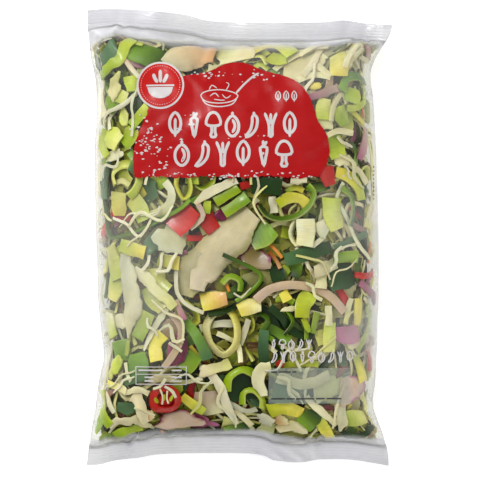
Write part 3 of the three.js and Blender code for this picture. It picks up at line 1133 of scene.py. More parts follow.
def lay_middle(top):
    strip, plate, slab = top.strip, top.plate, top.slab
    strip("leaf", "dark/green", 3.6, (223, 254), (240, 262), (256, 270), (261, 278), (252, 290),
          (236, 301), roll=60, thick=1.6)
    strip("mushroom", "fungus", 25, (252, 213), (232, 234), (212, 257), (197, 290),
          taper=(0.45, 0.62), thick=4, bow=-1.3, folds=0.5, wave=0.8, limit=4.5)
    strip("mushroom", "fungus/cream", 21, (203, 254), (192, 272), (186, 296), taper=(0.3, 0.55),
          thick=4, bow=-1.8, folds=0.5, wave=0.5, limit=5)
    slab("leaf", "dark", (266, 187), (20, 12), -2, thick=1.4)
    slab("cabbage", "white", (299, 180), (11, 8), 0, thick=3)
    strip("leek", "dark/green", 5, (259, 205), (266, 215), (281, 219), (298, 215), (310, 205),
          (314, 193), (308, 185), roll=55, thick=1.5)
    strip("leek", "olive/yellow", 7, (278, 205), (288, 198), (300, 199), (307, 205), thick=2.4)
    strip("leek", "bright/yellow", 4, (286, 192), (295, 188), (303, 192), roll=30)
    strip("shred", "white", 5.5, (272, 197), (274, 213), thick=2.2)
    strip("shred", "cream", 3, (258, 199), (250, 207), (242, 216))
    slab("leek", "bright/green", (261, 235), (17, 15), 35, thick=3.2)
    slab("leek", "bright", (243, 205), (10, 16), 20, top=0.5)
    strip("leek", "white/cream", 12, (305, 219), (306, 233), (304, 246), bow=-1.2)
    strip("leek", "white", 6, (297, 220), (291, 233), (297, 245), (303, 238), (301, 225), roll=64,
          loop=True)
    slab("cabbage", "white", (323, 229), (9, 10), 30)
    strip("shred", "white", 3.4, (312, 246), (325, 236))
    strip("shred", "cream", 3, (269, 227), (281, 223), (293, 226))
    slab("leek", "lime/olive", (286, 231), (7, 10), -10)
    slab("leek", "pale/lime", (335, 214), (14, 21), 10, thick=2.6)
    strip("leek", "green/blue", 5, (343, 188), (352, 196), (355, 211), (352, 226), roll=35)
    strip("shred", "white", 3, (345, 183), (338, 197), (344, 209), (352, 224), (359, 244),
          (373, 261))
    strip("shred", "white", 1.8, (358, 244), (348, 246), (339, 250))
    plate("onion", "flesh", (255, 257), (21, 15), 0, outline="half", rim="skin")
    strip("carrot", "orange", 2, (267, 243), (276, 250), (282, 258))
    strip("carrot", "orange/peach", 2.6, (269, 252), (276, 260), (280, 268))
    strip("leaf", "blue/dark", 9, (284, 260), (307, 254), (331, 246))
    strip("leaf", "blue", 4.4, (334, 248), (351, 241), (369, 234))
    slab("leek", "green/bright", (347, 257), (19, 8), 4)
    strip("cabbage", "cream/white", 8, (313, 272), (326, 267), (338, 264))
    strip("cabbage", "cream", 8, (322, 268), (321, 288))
    slab("leaf", "blue/dark", (342, 277), (19, 18), 15, top=0.5)
    strip("pepper", "red", 4.2, (356, 275), (366, 276), (376, 274), thick=2)
    slab("leaf", "dark", (277, 273), (10, 10), 20)
    slab("leek", "bright/lime", (285, 270), (7, 7), 40)
    slab("leaf", "dark/green", (294, 270), (9, 9), -10, top=0.5)
    strip("onion", "flesh", 6, (256, 300), (268, 290), (284, 285), (301, 285), (319, 290),
          (333, 298), (345, 312), thick=2.6)
    slab("leek", "olive/lime", (306, 305), (11, 17), -20, thick=2.4)
    strip("leek", "olive/bright", 4, (303, 318), (309, 332), taper=(0, 0.5))
    strip("leek", "bright", 4, (317, 312), (312, 333), roll=25)
    slab("leek", "yellow", (285, 296), (7, 7), 30)
    plate("cabbage", "cream", (290, 309), (11, 4), 5)
    slab("leek", "yellow/cream", (250, 308), (15, 10), 12, thick=3)
    slab("leek", "yellow/peach", (214, 300), (17, 11), 10, thick=3)
    strip("leek", "bright/green", 5, (222, 283), (230, 276), (240, 280), (240, 291), roll=55)
    strip("carrot", "orange", 2, (226, 283), (229, 291))
    strip("leaf", "dark", 5, (208, 314), (228, 309), (245, 297), (262, 280), roll=45)


def lay_right(top):
    strip, plate, slab = top.strip, top.plate, top.slab
    strip("shred", "cream", 5, (328, 305), (329, 325), thick=2)
    strip("leek", "lime/pale", 9, (330, 322), (329, 352), thick=2.2)
    strip("shred", "cream/pale", 4, (352, 298), (349, 311), (346, 324))
    slab("onion", "skin", (348, 333), (18, 12), 0)
    plate("onion", "cream/flesh", (357, 342), (12, 10), 20)
    strip("leek", "yellow", 5.5, (360, 298), (359, 325))
    strip("leek", "bright/lime", 7, (371, 306), (374, 328), (362, 350), roll=25)
    strip("shred", "white", 2.6, (354, 343), (358, 356))
    strip("pepper", "red", 5, (371, 351), (373, 372))
    strip("leek", "lime/yellow", 8, (361, 356), (366, 382))
    plate("onion", "flesh", (356, 388), (20, 24), -80, outline="half", rim="skin")
    strip("cabbage", "cream/white", 9, (272, 364), (262, 369), (258, 379), (265, 395),
          taper=(0.4, 0.4))
    plate("pepper", "red", (280, 364), (6, 5), 10)
    strip("leek", "olive/lime", 4, (283, 365), (300, 363), (318, 364))
    strip("leaf", "blue/dark", 7, (264, 329), (263, 348), (264, 367))
    strip("shred", "cream", 7, (277, 376), (304, 384), (329, 374), thick=2)
    plate("cabbage", "cream/pale", (330, 388), (22, 16), 20, top=0.5)
    slab("leaf", "blue", (286, 389), (18, 16), 5, top=0.8)
    strip("cabbage", "white/cream", 8.5, (341, 402), (343, 416), (341, 432), taper=(0.1, 0.8))
    strip("shred", "cream", 4.6, (306, 396), (320, 410), (337, 427))
    slab("leaf", "green/dark", (309, 419), (15, 12), 40)
    strip("leek", "lime/yellow", 9, (316, 417), (324, 428), (331, 439), taper=(0.2, 0.3))
    strip("shred", "white", 1.8, (323, 420), (316, 430), (309, 439))
    strip("leek", "olive/yellow", 9, (268, 411), (285, 408), (302, 413), thick=2.4)
    plate("cabbage", "white", (266, 420), (12, 9), 15, thick=3)
    plate("cabbage", "peach/cream", (281, 422), (10, 8), 15)
    slab("cabbage", "cream", (293, 431), (20, 9), 10)
    strip("leaf", "dark", 4.4, (332, 425), (343, 433), (355, 438), (367, 436), (377, 427),
          roll=50)
    slab("leek", "lime/pale", (359, 419), (14, 12), 8, thick=2.6)
    strip("leek", "olive", 6, (346, 404), (349, 420))
    strip("leek", "yellow", 2.4, (355, 404), (353, 418))
    strip("leek", "pale", 5, (368, 390), (372, 406), (375, 420), roll=20)
    strip("leaf", "dark/green", 5, (256, 311), (268, 319), (262, 331), (273, 340), roll=50)
    strip("leaf", "green/dark", 4, (285, 308), (293, 321), (284, 335), roll=62)
    strip("leaf", "dark/bright", 4, (296, 316), (305, 326), (306, 339), roll=55)
    strip("leaf", "dark", 6, (270, 307), (282, 317), (290, 329), (304, 337), roll=(10, 45))
    strip("leaf", "dark/green", 7, (262, 326), (276, 331), (289, 341), roll=(0, 30))
    strip("leaf", "dark", 8, (258, 306), (272, 322), (276, 342), top=1)
    strip("leaf", "green/dark", 7, (282, 312), (298, 330), (312, 338), roll=20, top=1)
    strip("leaf", "dark", 9, (262, 336), (280, 322), (300, 318), top=2)
    strip("shred", "cream", 2, (286, 322), (294, 329), (303, 337))
    strip("leek", "pale", 6, (318, 330), (322, 345), top=1)


def lay_lower_left(top):
    strip, plate, slab = top.strip, top.plate, top.slab
    strip("leek", "yellow", 9, (163, 333), (155, 346), (157, 361), thick=2.4)
    strip("shred", "white", 2.2, (169, 342), (182, 351))
    strip("onion", "flesh", 4.6, (172, 314), (181, 327), (180, 342), (173, 355), (164, 367))
    plate("onion", "skin/magenta", (178, 349), (13, 24), -20)
    plate("onion", "flesh", (171, 329), (13, 14), 10, top=1)
    strip("leaf", "green/blue", 7.5, (183, 320), (195, 332), (202, 346), (208, 359))
    slab("leek", "bright/green", (191, 362), (12, 13), -30)
    strip("leek", "yellow/olive", 3, (190, 346), (199, 358))
    strip("leek", "yellow/cream", 6, (214, 313), (228, 309), (237, 324), (236, 343), (224, 355),
          (212, 345), (207, 327), roll=52, thick=2, loop=True)
    strip("shred", "white", 5, (200, 328), (217, 324), (234, 323), thick=1.8)
    strip("shred", "cream", 3.6, (217, 333), (229, 338), (238, 344), (241, 362))
    strip("shred", "white", 4, (249, 319), (245, 331), (240, 345))
    strip("cabbage", "cream/pale", 8, (200, 370), (215, 366), (230, 362))
    strip("shred", "white", 6.5, (209, 371), (220, 386), (226, 404), (237, 425),
          taper=(0.2, 0.5))
    strip("leek", "bright", 6, (227, 391), (229, 377), (243, 369), (256, 375), roll=38)
    strip("leek", "bright/lime", 5, (242, 404), (244, 392), (254, 390), (262, 399), (262, 409),
          roll=45)
    slab("leaf", "dark", (245, 382), (22, 24), 10, top=1.6)
    strip("leek", "dark/bright", 4, (238, 396), (240, 386), (250, 384), (254, 392), roll=60)
    strip("shred", "white", 4, (229, 402), (245, 411), (257, 408))
    strip("shred", "cream", 5, (235, 409), (242, 417), (252, 426))
    # The chilli is cut across, so its hollows show between pale ribs
    strip("shred", "white", 2.2, (153, 388), (161, 386), (166, 378), thick=1.2)
    strip("shred", "white", 2, (165, 386), (172, 390), (176, 397), thick=1.2)
    strip("shred", "cream", 1.3, (160, 388), (163, 396), (162, 404), thick=1)
    strip("shred", "cream", 1.3, (168, 390), (167, 398), (169, 403), thick=1)
    plate("leaf", "olive", (156.5, 400), (2.6, 4.6), 30)
    plate("leaf", "yellow/olive", (164.5, 397), (2, 4.4), 0)
    plate("leaf", "olive", (171.5, 398), (2.4, 4.4), -25)
    strip("pepper", "red", 6, (153, 398), (157, 390), (167, 388), (176, 394), (177, 404),
          (168, 410), (156, 409), roll=40, thick=2.4, loop=True)
    plate("pepper", "red", (165, 401), (15, 12), 10, top=0.4, thick=3)
    strip("leek", "yellow/lime", 6.5, (182, 396), (204, 412), thick=2.4)
    plate("onion", "flesh", (179, 420), (33, 15), 8, outline="half", rim="magenta", thick=3)
    plate("onion", "magenta/skin", (201, 424), (26, 13), -12, outline="wedge", thick=2.6)
    slab("cabbage", "cream/flesh", (211, 405), (17, 18), 20)
    plate("leek", "olive/lime", (175, 390), (12, 8), 20, top=1.5)
    strip("leek", "lime/bright", 6.5, (98, 390), (100, 410), (109, 426))
    strip("shred", "white", 4.4, (102, 393), (107, 403), (114, 413), taper=(0.3, 0.3))
    strip("shred", "yellow/cream", 4.6, (104, 384), (114, 386), (125, 391))
    strip("shred", "cream", 4, (124, 392), (136, 389), (149, 393))
    strip("cabbage", "cream", 7.5, (131, 394), (138, 406), (146, 423), taper=(0, 0.4))
    slab("leaf", "blue", (127, 410), (15, 8), 0)
    plate("cabbage", "peach/cream", (149, 416), (7, 10), 10)
    strip("cabbage", "cream", 6, (108, 428), (119, 422), (133, 421), (155, 431),
          taper=(0.1, 0.7))
    strip("leek", "bright/lime", 7.5, (114, 438), (127, 434), (142, 429), thick=2.4)
    plate("leek", "bright/green", (103, 438), (12, 6), 12, outline="wedge")
    plate("carrot", "orange", (162, 433), (3, 3), 0)
    strip("leaf", "blue/dark", 6, (158, 438), (177, 436), (200, 436), (222, 433))
    slab("leaf", "green/dark", (235, 429), (16, 9), 20)
    plate("leek", "lime", (115, 365), (11, 13), 5, thick=2.6)
    plate("leek", "lime/pale", (106, 374), (7, 8), 10)
    strip("shred", "white", 2.6, (125, 362), (126, 372), (130, 381))
    strip("leek", "lime", 3, (128, 334), (126, 355))
    strip("leek", "lime/pale", 3, (130, 332), (135, 345))
    slab("leek", "lime/white", (109, 325), (10, 16), 10)
    slab("leaf", "blue/green", (136, 368), (18, 19), 8, top=0.8)
    slab("leek", "green", (118, 350), (16, 14), 10, top=1)
    strip("shred", "white", 3, (100, 336), (106, 350), (103, 362), top=0.4)
    plate("cabbage", "cream", (160, 378), (22, 5), 2, top=0.5)
    strip("shred", "white", 3.4, (170, 380), (185, 382), (203, 378))


# What lies loose between and under those: how often, and each piece's kind and tints
MIX = (
    (14, "leek", ("lime/pale", "bright/lime", "green/bright", "yellow/lime", "pale", "lime")),
    (9, "ring", ("lime/pale", "bright/lime", "green/dark", "yellow/lime", "white/pale")),
    (10, "leaf", ("dark", "blue/dark", "green/dark", "dark/green", "blue")),
    (38, "shred", ("white", "cream", "cream/white", "cream/pale")),
    (13, "cabbage", ("cream", "white/pale", "cream/pale", "cream/white")),
    (6, "onion", ("flesh", "flesh/skin", "skin/flesh", "magenta/skin")),
    (3, "pepper", ("red",)),
    (1, "mushroom", ("fungus", "fungus/peach")),
    (1, "carrot", ("orange",)),
)


# Large pieces that no loose shred crosses: place in the photograph and radius in mm
KEPT_CLEAR = (((124, 290), 26), ((225, 250), 26), ((165, 400), 13), ((183, 421), 17),
              ((306, 232), 11), ((222, 333), 15), ((335, 214), 12), ((190, 57), 16),
              ((215, 300), 10), ((250, 308), 9), ((261, 235), 12))


def strew(top, count):
    """Thin shreds that lie over everything else, here and there."""
    pile = top.pile
    draw = pile.random
    clear = [(np.array(top.spot(*place)), radius) for place, radius in KEPT_CLEAR]
    for _ in range(count):
        spot = np.array([draw.uniform(-92, 92), draw.uniform(-126, 118)])
        if any(np.hypot(*(spot - middle)) < radius for middle, radius in clear):
            continue
        turn = draw.uniform(0, math.tau)
        ahead = np.array([math.cos(turn), math.sin(turn)])
        aside = np.array([-ahead[1], ahead[0]])
        reach = draw.uniform(5, 17)
        bend = draw.normal(0, 0.3, 2) * reach
        path = [spot - ahead * reach, spot - ahead * reach * 0.3 + aside * bend[0],
                spot + ahead * reach * 0.3 + aside * bend[1], spot + ahead * reach]
        tint = ("white", "cream", "white/cream", "cream/pale")[draw.integers(4)]
        pile.strip("shred", tint, draw.uniform(1.1, 2.9), path, thick=draw.uniform(0.8, 1.3),
                   taper=draw.uniform(0, 0.6, 2), roll=draw.normal(0, 30, 2), wave=0.2)


def scatter(pile, count):
    """Fills the whole bag under its film with loose pieces, the emptiest places first."""
    draw = pile.random
    kinds = [row[1] for row in MIX]
    odds = np.array([row[0] for row in MIX], float)
    tints = {row[1]: row[2] for row in MIX}
    for _ in range(count):
        s = draw.uniform(-pile.film.girth / 2, pile.film.girth / 2, 7)
        t = draw.uniform(*pile.ENDS, 7)
        taken = pile.used[pile.cell(s, t)[0] % pile.shape[0], pile.cell(s, t)[1]]
        pick = int(np.argmin(taken))
        spot = np.array([s[pick], t[pick]])
        kind = kinds[draw.choice(len(kinds), p=odds / odds.sum())]
        tint = tints[kind][draw.integers(len(tints[kind]))]
        turn = draw.uniform(0, math.tau)
        ahead = np.array([math.cos(turn), math.sin(turn)])
        aside = np.array([-ahead[1], ahead[0]])
        top = draw.exponential(0.5)
        if kind in ("leek", "leaf", "onion", "cabbage", "shred", "carrot", "pepper"):
            reach, width, curl = {
                "leek": (draw.uniform(8, 24), draw.uniform(4, 11), 0.3),
                "leaf": (draw.uniform(10, 28), draw.uniform(4, 12), 0.2),
                "onion": (draw.uniform(12, 30), draw.uniform(3.5, 6), 0.5),
                "cabbage": (draw.uniform(12, 30), draw.uniform(7, 14), 0.25),
                "shred": (draw.uniform(14, 42), draw.uniform(1.4, 4.5), 0.5),
                "carrot": (draw.uniform(6, 16), 2.0, 0.1),
                "pepper": (draw.uniform(8, 22), draw.uniform(3.5, 7), 0.4),
            }[kind]
            sag = draw.normal(0, curl) * reach / 2
            path = [spot - ahead * reach / 2, spot + aside * sag, spot + ahead * reach / 2]
            roll = draw.choice([0, 0, 25, 50, 75]) if kind in ("leek", "leaf") else 0
            if kind in ("shred", "cabbage"):
                roll = draw.normal(0, 35, 2) if width < 6 else draw.normal(0, 12, 2)
            ends = draw.uniform(0, 0.6, 2) if kind in ("shred", "cabbage", "leaf") else (0, 0)
            wave = 0.8 if kind in ("shred", "cabbage") else 0
            bow = draw.normal(0, 0.08) * width
            pile.strip(kind, tint, width, path, roll=roll, top=top, taper=ends, wave=wave,
                       bow=bow)
        elif kind == "ring":
            radii = draw.uniform(5, 9), draw.uniform(3.5, 8)
            angles = np.arange(7) * math.tau / 7
            path = [spot + ahead * radii[0] * math.cos(a) + aside * radii[1] * math.sin(a)
                    for a in angles]
            pile.strip("leek", tint, draw.uniform(5, 7), path, roll=draw.uniform(50, 80), top=top,
                       thick=1.6, loop=True)
        else:
            size = draw.uniform(16, 30), draw.uniform(11, 18)
            pile.plate(kind, tint, spot, size, math.degrees(turn), top=top)


# ---------------------------------------------------------------------------------------------
# Meshes


def smooth_mesh(name, mesh):
    """A smooth-shaded mesh from a bmesh, which it frees."""
    data = bpy.data.meshes.new(name)
    mesh.to_mesh(data)
    mesh.free()
    data.shade_smooth()
    return data


def new_object(name, mesh, material):
    """A piece of the bag, which moves with its one body."""
    made = bpy.data.objects.new(name, mesh)
    bpy.context.collection.objects.link(made)
    mesh.materials.append(material)
    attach(made, "root")
    return made


FILM_GAP = 0.00012  # between the film and what lies under it
SHARP = math.radians(55)  # edges of the vegetables sharper than this stay sharp


def outward(points, tree):
    """How far each point must go back in to lie a gap inside the film, as vectors."""
    moves = np.zeros(points.shape)
    for number, point in enumerate(points):
        place, normal, _, _ = tree.find_nearest(Vector(point))
        out = (Vector(point) - place).dot(normal) + FILM_GAP
        if out > 0:
            moves[number] = np.array(normal) * out
    return moves


def kept_inside(points, faces, tree):
    """Pushes back in what would come through the film, corners first and then whole faces."""
    points = points - outward(points, tree)
    middles = np.array([points[face].mean(0) for face in faces])
    moves = outward(middles, tree)
    for number in np.flatnonzero(moves.any(1)):
        points[faces[number]] -= moves[number]
    return points


def joined(name, pieces, tree):
    """One mesh from many pieces, with their colours and the run of their grain."""
    mesh = bpy.data.meshes.new(name)
    starts = np.cumsum([0] + [len(p[0]) for p in pieces])
    faces = [[start + k for k in face] for start, p in zip(starts, pieces) for face in p[1]]
    verts = kept_inside(np.vstack([p[0] for p in pieces]) * MM, faces, tree)
    mesh.from_pydata(verts, [], faces)
    tint = np.column_stack([np.vstack([p[2] for p in pieces]), np.ones(len(verts))])
    colours = mesh.attributes.new("tint", "FLOAT_COLOR", "POINT")
    colours.data.foreach_set("color", tint.astype(np.float32).ravel())
    grain = mesh.attributes.new("grain", "FLOAT_VECTOR", "POINT")
    run = np.vstack([p[3] for p in pieces]).astype(np.float32)
    grain.data.foreach_set("vector", run.ravel())
    mesh.shade_smooth()
    mesh.set_sharp_from_angle(angle=SHARP)
    return mesh


DEEPEST_FOLD = 3.2  # mm that the film sinks between pieces at most
FOLD_CELLS = 10  # how far, in the pile's cells, it spans at most
OVER_TOPS = 0.35  # mm from the tops of the pieces to the film


def film_offset(pile, radius):
    """How far the film lies out of the filled form, on the pile's cells: it rests on the tops."""
    height = -np.minimum(pile.first, DEEPEST_FOLD)
    steps = np.arange(-FOLD_CELLS, FOLD_CELLS + 1)
    curve = (steps * pile.CELL) ** 2 / (2 * radius)

    def fold(values, sign):
        for axis in (0, 1):
            rows = [np.roll(values, k, axis) - sign * c for k, c in zip(steps, curve)]
            values = np.max(rows, axis=0) if sign > 0 else np.min(rows, axis=0)
        return values

    closed = fold(fold(height, 1), -1)
    soft = closed.copy()
    for axis in (0, 1):
        soft = (np.roll(soft, 1, axis) + 2 * soft + np.roll(soft, -1, axis)) / 4
    return np.maximum(soft, closed - 0.15) + OVER_TOPS


# Painted glare on the film: whitish veils where the lamps' reflections lie; place in the
# photograph, radius in mm, and how strong
GLARE_VEILS = (
    ((112, 262), 34, 0.2), ((124, 330), 30, 0.14), ((150, 300), 22, 0.08),
    ((230, 45), 34, 0.1), ((290, 45), 34, 0.12), ((345, 60), 28, 0.12), ((205, 268), 18, 0.06),
    ((355, 220), 24, 0.19), ((362, 330), 22, 0.2), ((352, 390), 20, 0.1), ((150, 220), 26, 0.12),
    ((345, 110), 20, 0.1), ((116, 80), 24, 0.08),
)


# Painted glare: how strongly the lamps' whitish reflections are painted on the film at each point
def veil(x, y):
    total = 0.0
    for (px, py), radius, strength in GLARE_VEILS:
        middle = in_mm(px, py)
        dx, dy = x - middle[0], y - middle[1]
        total = total + strength * np.exp(-(dx * dx + dy * dy) / radius ** 2)
    return total


# ---------------------------------------------------------------------------------------------
# The print


ABOVE_BAG = 0.1  # where shapes are dropped from


class Print:
    """Flat shapes given in the photograph's pixels, laid on the film."""

    MESH = 3  # pixels from one cut across a shape to the next

    def __init__(self, tree):
        self.tree = tree
        self.mesh = bmesh.new()

    def shape(self, outline):
        """A filled shape."""
        part = bmesh.new()
        bmesh.ops.create_circle(part, cap_ends=True, segments=len(outline), radius=1)
        for vert, (x, y) in zip(part.verts, outline):
            vert.co = (x, -y, 0)
        bmesh.ops.triangulate(part, faces=part.faces)
        points = np.array(outline)
        for axis, sign in ((0, 1), (1, -1)):
            normal = (1, 0, 0) if axis == 0 else (0, 1, 0)
            low, high = points[:, axis].min(), points[:, axis].max()
            for cut in np.arange(math.ceil(low / self.MESH) * self.MESH, high, self.MESH):
                everything = part.verts[:] + part.edges[:] + part.faces[:]
                place = Vector(normal) * sign * cut
                bmesh.ops.bisect_plane(part, geom=everything, plane_co=place, plane_no=normal)
        self._take(part)

    def stroke(self, path, width, loop=False):
        """A drawn line with round ends."""
        count = max(6, round(np.linalg.norm(np.diff(path, axis=0), axis=1).sum() / 2))
        line, span = smooth_path(path, count, loop)
        part = bmesh.new()
        bmesh.ops.create_grid(part, x_segments=count, y_segments=1, size=0.5)
        for vert in part.verts:
            along = round((vert.co.x + 0.5) * count)
            here = line[along % len(line)]
            if loop:
                ahead = line[(along + 1) % len(line)] - line[along % len(line) - 1]
                half = width / 2
            else:
                ahead = line[min(along + 1, count)] - line[max(along - 1, 0)]
                near = min(along, count - along) * span / count
                half = width / 2 * math.sqrt(min(1, 0.15 + near / width * 2))
            ahead = ahead / max(np.linalg.norm(ahead), 1e-6)
            side = half if vert.co.y > 0 else -half
            vert.co = (here[0] - ahead[1] * side, -here[1] - ahead[0] * side, 0)
        bmesh.ops.remove_doubles(part, verts=part.verts, dist=1e-4)
        self._take(part)

    def bar(self, left, top, right, bottom):
        self.shape([(left, top), (right, top), (right, bottom), (left, bottom)])

    def disc(self, x, y, radius, count=24):
        turns = np.arange(count) * math.tau / count
        self.shape([(x + radius * math.cos(a), y + radius * math.sin(a)) for a in turns])

    def _take(self, part):
        data = bpy.data.meshes.new("part")
        part.to_mesh(data)
        part.free()
        self.mesh.from_mesh(data)
        bpy.data.meshes.remove(data)

    def lay(self, name, lift, material, slot):
        """Lays all the shapes on the film, lift mm above it."""
        for vert in self.mesh.verts:
            x, y = in_mm(vert.co.x, -vert.co.y)
            above = Vector((x * MM, y * MM, ABOVE_BAG))
            place, normal, _, _ = self.tree.ray_cast(above, Vector((0, 0, -1)))
            vert.co = place + normal * lift * MM
        self.mesh.normal_update()
        bmesh.ops.recalc_face_normals(self.mesh, faces=self.mesh.faces)
        down = [face for face in self.mesh.faces if face.normal.z < 0]
        bmesh.ops.reverse_faces(self.mesh, faces=down)
        new_object(name, smooth_mesh(name, self.mesh), material)


# The red field: a dome with a brushed foot
FIELD = ((134, 168), (133.5, 156), (137, 140), (142, 127), (147, 116), (151, 104), (158, 92),
         (170, 82), (185, 76.5), (199, 74), (209, 72), (221, 66), (233, 63), (247, 64),
         (261, 70), (275, 74), (291, 79), (301, 86), (309, 97), (313, 107), (317, 120),
         (325, 133), (328.4, 144), (328.5, 156), (325, 167), (319, 176))
FIELD_FOOT = 177.5
DARK_INK = (0.05, 0.05, 0.05)
BADGE = (160.6, 86)
BADGE_RADIUS = 23.6

# Simple drawings, each on a square of 1: lines with a width, and whether each closes
DRAWINGS = {
    "leaf": (((0.5, 0.02), (0.82, 0.3), (0.8, 0.66), (0.5, 0.86), (0.2, 0.66), (0.18, 0.3)),
             ((0.5, 0.25), (0.5, 1.0))),
    "carrot": (((0.3, 0.3), (0.5, 0.24), (0.7, 0.3), (0.62, 0.65), (0.5, 1.0), (0.38, 0.65)),
               ((0.5, 0.24), (0.46, 0.0)), ((0.5, 0.24), (0.68, 0.03)), ((0.4, 0.5), (0.54, 0.5))),
    "mushroom": (((0.05, 0.48), (0.2, 0.14), (0.5, 0.02), (0.8, 0.14), (0.95, 0.48), (0.5, 0.56)),
                 ((0.38, 0.54), (0.4, 0.78), (0.34, 0.98), (0.66, 0.98), (0.6, 0.78),
                  (0.62, 0.54))),
    "onion": (((0.5, 0.16), (0.86, 0.42), (0.84, 0.78), (0.5, 0.98), (0.16, 0.78), (0.14, 0.42)),
              ((0.5, 0.3), (0.66, 0.56), (0.5, 0.84)), ((0.5, 0.16), (0.5, 0.0))),
    "chilli": (((0.7, 0.14), (0.86, 0.3), (0.78, 0.66), (0.46, 0.92), (0.1, 1.0), (0.42, 0.72),
                (0.54, 0.4), (0.54, 0.2)), ((0.68, 0.16), (0.62, 0.0))),
    "leek": (((0.4, 1.0), (0.38, 0.5), (0.12, 0.04)), ((0.6, 1.0), (0.62, 0.5), (0.88, 0.04)),
             ((0.5, 0.5), (0.5, 0.06)), ((0.38, 0.98), (0.62, 0.98))),
}
OPEN_LINES = ("leek",)

# Rows of drawings: how many, left, right, top, height, line, and the first drawing
ROWS = ((7, 166, 299, 112.5, 25, 2.9, 0), (6, 172, 294, 141, 25.5, 2.9, 3),
        (5, 269, 313, 338.5, 10, 1.3, 1), (9, 269, 354, 350.5, 11.5, 1.3, 4))
LEAVES = (278, 286, 294)  # the middles of the three small leaves
PAN_RIM = ((201, 96), (207, 92), (220, 90.5), (233, 93), (238, 97), (232, 102), (219, 104),
           (206, 102))
PAN_SIDE = ((202, 99), (207, 105), (219, 107.5), (232, 105), (237, 99))
PAN_HANDLE = ((236, 94), (244, 85), (253, 77), (259, 73.5))
IN_PAN = (((210, 97), (215, 94), (219, 98)), ((222, 95), (226, 99), (231, 96)),
          ((214, 100), (220, 101), (225, 101)), ((209, 91), (212, 86), (217, 89)),
          ((226, 91), (229, 85), (226, 83)))
# The small table's lines, as left, top, right and bottom, and the bars in it, as left, top, width
TABLE_LINES = ((136, 366, 187, 366.8), (136, 383.2, 187, 384), (136, 366.8, 136.8, 383.2),
               (186.2, 366.8, 187, 383.2), (137, 373.4, 186, 374.1))
TABLE_BARS = ((139, 369, 24), (172, 369, 10), (145, 376, 9), (145, 379.6, 9), (172, 376, 10),
              (172, 379.6, 10))
DATE_PANEL = (268.5, 367.5, 350, 403)
PANEL_BARS = ((271, 370.6, 6), (278.5, 370.6, 12), (292, 370.6, 4), (271, 397.4, 14),
              (286.5, 397.4, 8), (296, 397.4, 18), (315.5, 397.4, 9), (326, 397.4, 15))


def draw_picture(ink, name, x, y, width, height, line):
    """One of the drawings, in a box given by its upper left corner."""
    for number, path in enumerate(DRAWINGS[name]):
        points = [(x + width * a, y + height * b) for a, b in path]
        loop = number == 0 and name not in OPEN_LINES
        ink.stroke(points, line, loop=loop)


def field_outline(draw):
    """The red field's edge, rough where the brush ran dry."""
    edge, _ = smooth_path(FIELD, 120)
    rough = draw.normal(0, 0.16, edge.shape)
    rough[:28] *= 2.4
    foot = []
    for x in np.arange(318, 135, -1.1):
        foot.append((x, FIELD_FOOT + draw.normal(0, 0.7) + 0.8 * math.sin(x / 9)))
    return [tuple(p) for p in edge + rough] + foot


# White flecks in the red, where the brush skipped: middle, spread and how many
FLECKS = (((151, 139), (9, 10), 46), ((145, 152), (5, 8), 14), ((163, 163), (5, 8), 12),
          ((209, 75), (13, 2), 22), ((262, 76), (10, 3), 12), ((292, 176), (18, 1.2), 14),
          ((215, 176), (28, 1.3), 34), ((160, 174), (14, 1.5), 14), ((255, 173), (5, 1.5), 5),
          ((181, 128), (5, 6), 8), ((247, 137), (16, 1.5), 10))


def draw_flecks(ink, draw):
    for middle, reach, count in FLECKS:
        for _ in range(count):
            x, y = draw.normal(middle, reach)
            size = draw.uniform(0.35, 1.3)
            turns = np.arange(7) * math.tau / 7
            ink.shape([(x + size * 1.5 * draw.uniform(0.5, 1.2) * math.cos(a),
                        y + size * draw.uniform(0.4, 1.1) * math.sin(a)) for a in turns])


def draw_rows(ink):
    """The rows of drawings, and the three leaves."""
    names = list(DRAWINGS)
    for count, left, right, top, height, line, first in ROWS:
        pitch = (right - left) / count
        for k in range(count):
            draw_picture(ink, names[(k + first) % len(names)], left + pitch * (k + 0.08), top,
                         pitch * 0.84, height, line)


def draw_pan(ink):
    """A pan with its handle, and what is in it."""
    ink.stroke(PAN_RIM, 1.1, loop=True)
    ink.stroke(PAN_SIDE, 1.1)
    ink.stroke(PAN_HANDLE, 2.0)
    for path in IN_PAN:
        ink.stroke(path, 1.0)
    for x in LEAVES:
        draw_picture(ink, "leaf", x - 3.5, 91.5, 7, 11, 1.1)


def draw_table(ink):
    for line in TABLE_LINES:
        ink.bar(*line)
    for left, top, width in TABLE_BARS:
        ink.bar(left, top, left + width, top + 1.6)


def draw_badge(tree, white, red):
    """A round badge with a white rim, a ring of dots, and a bowl with three leaves over it."""
    x, y = BADGE
    rim = Print(tree)
    rim.disc(x, y, BADGE_RADIUS, 72)
    rim.lay("badge_rim", 0.45, white, "print_white")
    badge = Print(tree)
    badge.disc(x, y, BADGE_RADIUS - 1.9, 72)
    badge.lay("badge", 0.52, red, "print_red")
    motif = Print(tree)
    for turn in np.arange(52) * math.tau / 52:
        motif.disc(x + 19.4 * math.cos(turn), y + 19.4 * math.sin(turn), 0.45, 6)
    motif.shape([(x - 13 + 26 * k / 16, y + 2 + 11 * math.sqrt(max(0, 1 - (k / 8 - 1) ** 2)))
                 for k in range(17)])
    motif.bar(x - 14, y - 0.5, x + 14, y + 1.2)
    for lean, tall in ((-7, 9), (0, 13), (7, 9)):
        motif.stroke([(x + lean * 0.4, y - 2.5), (x + lean * 0.8, y - 2.5 - tall * 0.5),
                      (x + lean, y - 2.5 - tall)], 3.6)
    motif.lay("badge_motif", 0.8, white, "print_white")


def draw_small(ink):
    """The dark bars on the date panel, and the row of marks at the bag's right side."""
    for left, top, width in PANEL_BARS:
        ink.bar(left, top, left + width, top + 1.4)
    for k in range(9):
        ink.bar(373, 166 + 4 * k, 374, 167.6 + 4 * k)


